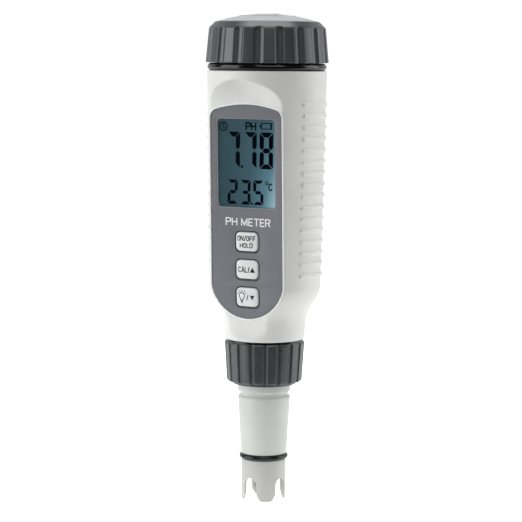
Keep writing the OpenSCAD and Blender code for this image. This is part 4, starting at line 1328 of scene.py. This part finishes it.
CAD_LOOKS = {
    "neck_ring": "body_plastic", "lcd_backlight": "white_plastic", "lcd_frame": "white_plastic",
    "zebra_strips": "silicone", "main_pcb": "board", "pcb_parts": "black_plastic", "pcb_screws": "steel",
    "keypad_mat": "silicone", "battery_tray": "black_plastic", "lower_contacts": "gold",
    "electrode_socket": "black_plastic", "socket_sleeves": "gold", "socket_gasket": "rubber",
    "socket_screws": "steel", "sensor_cable": "flat_cable", "contact_plate": "board",
    "contact_strips": "gold", "plate_screw": "steel", "silver_electrode": "silver",
    "reference_electrode": "silver", "ceramic_junction": "ceramic", "temperature_probe": "steel",
    "temperature_leads": "wire", "electrode_potting": "potting", "electrode_plug": "black_plastic",
    "plug_pins": "gold", "collar_washer": "white_plastic", "key_power_pill": "carbon",
    "key_cal_pill": "carbon", "key_light_pill": "carbon",
}


def dress_cad_nodes():
    for node, material in CAD_LOOKS.items():
        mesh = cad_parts[node].data
        mesh.materials.clear()
        mesh.materials.append(MATERIALS[material])


# ---------------------------------------------------------------- floor, lights and camera

ROOM_LIGHT = 0.10
VIEW_TURN = 29
FLOOR_DROP = 0.012


def build_stage():
    """Pale floor, clear of the drawn electrode, that curves up into the backdrop."""
    profile = [(-0.12, 0.0), (1.2, 0.0)]
    profile += [(1.2 + 0.8 * math.sin(math.radians(a)), 0.8 - 0.8 * math.cos(math.radians(a)))
                for a in range(6, 91, 6)]
    profile += [(2.0, 3.2)]
    verts, faces = [], []
    for y, z in profile:
        verts += [(-3.5, y, z - FLOOR_DROP), (3.5, y, z - FLOOR_DROP)]
    for i in range(len(profile) - 1):
        faces.append((2 * i, 2 * i + 1, 2 * i + 3, 2 * i + 2))
    mesh = bpy.data.meshes.new("studio_floor")
    mesh.from_pydata(verts, [], faces)
    floor = linked("studio_floor", mesh)
    floor.rotation_euler.z = math.radians(VIEW_TURN)
    floor.data.shade_smooth()
    m = Material("studio_paper", Specular_IOR_Level=0.1)
    m.colour(m.ramp(m.noise(3, 3), [(0.3, (0.93, 0.93, 0.93, 1)), (0.7, (0.96, 0.96, 0.96, 1))]))
    m.roughness(m.spread(m.noise(40, 3), 0.85, 0.95))
    m.shader.inputs["Emission Color"].default_value = (1.0, 1.0, 1.0, 1.0)
    seen = m.node("LightPath", "Is Camera Ray")
    m.links.new(m.spread(seen, 0.36, 0.78, 0.0, 1.0), m.shader.inputs["Emission Strength"])
    floor.data.materials.append(m.data)


def area_light(name, azimuth, distance, height, width, tall, power, aim_z=0.09):
    """Soft box at a turn round the object, aimed at its axis."""
    light = bpy.data.lights.new(name, "AREA")
    light.shape = "RECTANGLE"
    light.size = width
    light.size_y = tall
    light.energy = power
    obj = linked(name, light)
    a = math.radians(azimuth)
    obj.location = (distance * math.sin(a), -distance * math.cos(a), height)
    aim = Vector((0, 0, aim_z)) - obj.location
    obj.rotation_euler = aim.to_track_quat("-Z", "Y").to_euler()


def build_lights():
    area_light("left_box", VIEW_TURN - 78, 0.75, 0.2, 0.6, 1.0, 4.5)
    area_light("right_box", VIEW_TURN + 100, 0.75, 0.2, 0.5, 1.0, 3.0)
    area_light("front_box", VIEW_TURN + 8, 0.45, 0.45, 0.5, 0.3, 0.75, aim_z=0.13)
    area_light("top_box", VIEW_TURN, 0.2, 1.1, 0.9, 0.9, 2.2)
    area_light("back_box", VIEW_TURN + 180, 0.25, 1.2, 0.9, 0.6, 5.0, aim_z=0.15)
    world = bpy.data.worlds.new("studio")
    bpy.context.scene.world = world
    world.use_nodes = True
    nodes, links = world.node_tree.nodes, world.node_tree.links
    seen = nodes.new("ShaderNodeLightPath")
    strength = nodes.new("ShaderNodeMapRange")
    strength.inputs["To Min"].default_value = ROOM_LIGHT
    strength.inputs["To Max"].default_value = 1.0
    links.new(seen.outputs["Is Camera Ray"], strength.inputs["Value"])
    links.new(strength.outputs["Result"], nodes["Background"].inputs["Strength"])
    nodes["Background"].inputs["Color"].default_value = (1.0, 1.0, 1.0, 1.0)
    bpy.context.scene.view_settings.view_transform = "Standard"


def build_camera():
    camera = bpy.data.cameras.new("camera")
    camera.sensor_width = 36
    camera.lens = 144.8
    camera.clip_start = 0.01
    obj = linked("camera", camera)
    azimuth, distance, height = math.radians(VIEW_TURN), 0.683, 0.1466
    pitch, roll, side = math.radians(-5.68), math.radians(0.5), -0.0014
    place = Vector((distance * math.sin(azimuth), -distance * math.cos(azimuth), height))
    right = Vector((math.cos(azimuth), math.sin(azimuth), 0))
    target = right * side + Vector((0, 0, height + distance * math.tan(pitch)))
    look = (target - place).to_track_quat("-Z", "Y").to_matrix().to_4x4()
    obj.matrix_world = Matrix.Translation(place) @ look @ Matrix.Rotation(roll, 4, "Z")
    bpy.context.scene.camera = obj


# ---------------------------------------------------------------- the whole scene

build_camera()
build_stage()
build_lights()
build_housing()
build_label()
build_title()
build_window()
build_display()
build_keys()
build_battery_cap()
build_cap_dome()
build_collar()
build_electrode()
build_seals()
build_cells()
build_springs()
dress_cad_nodes()
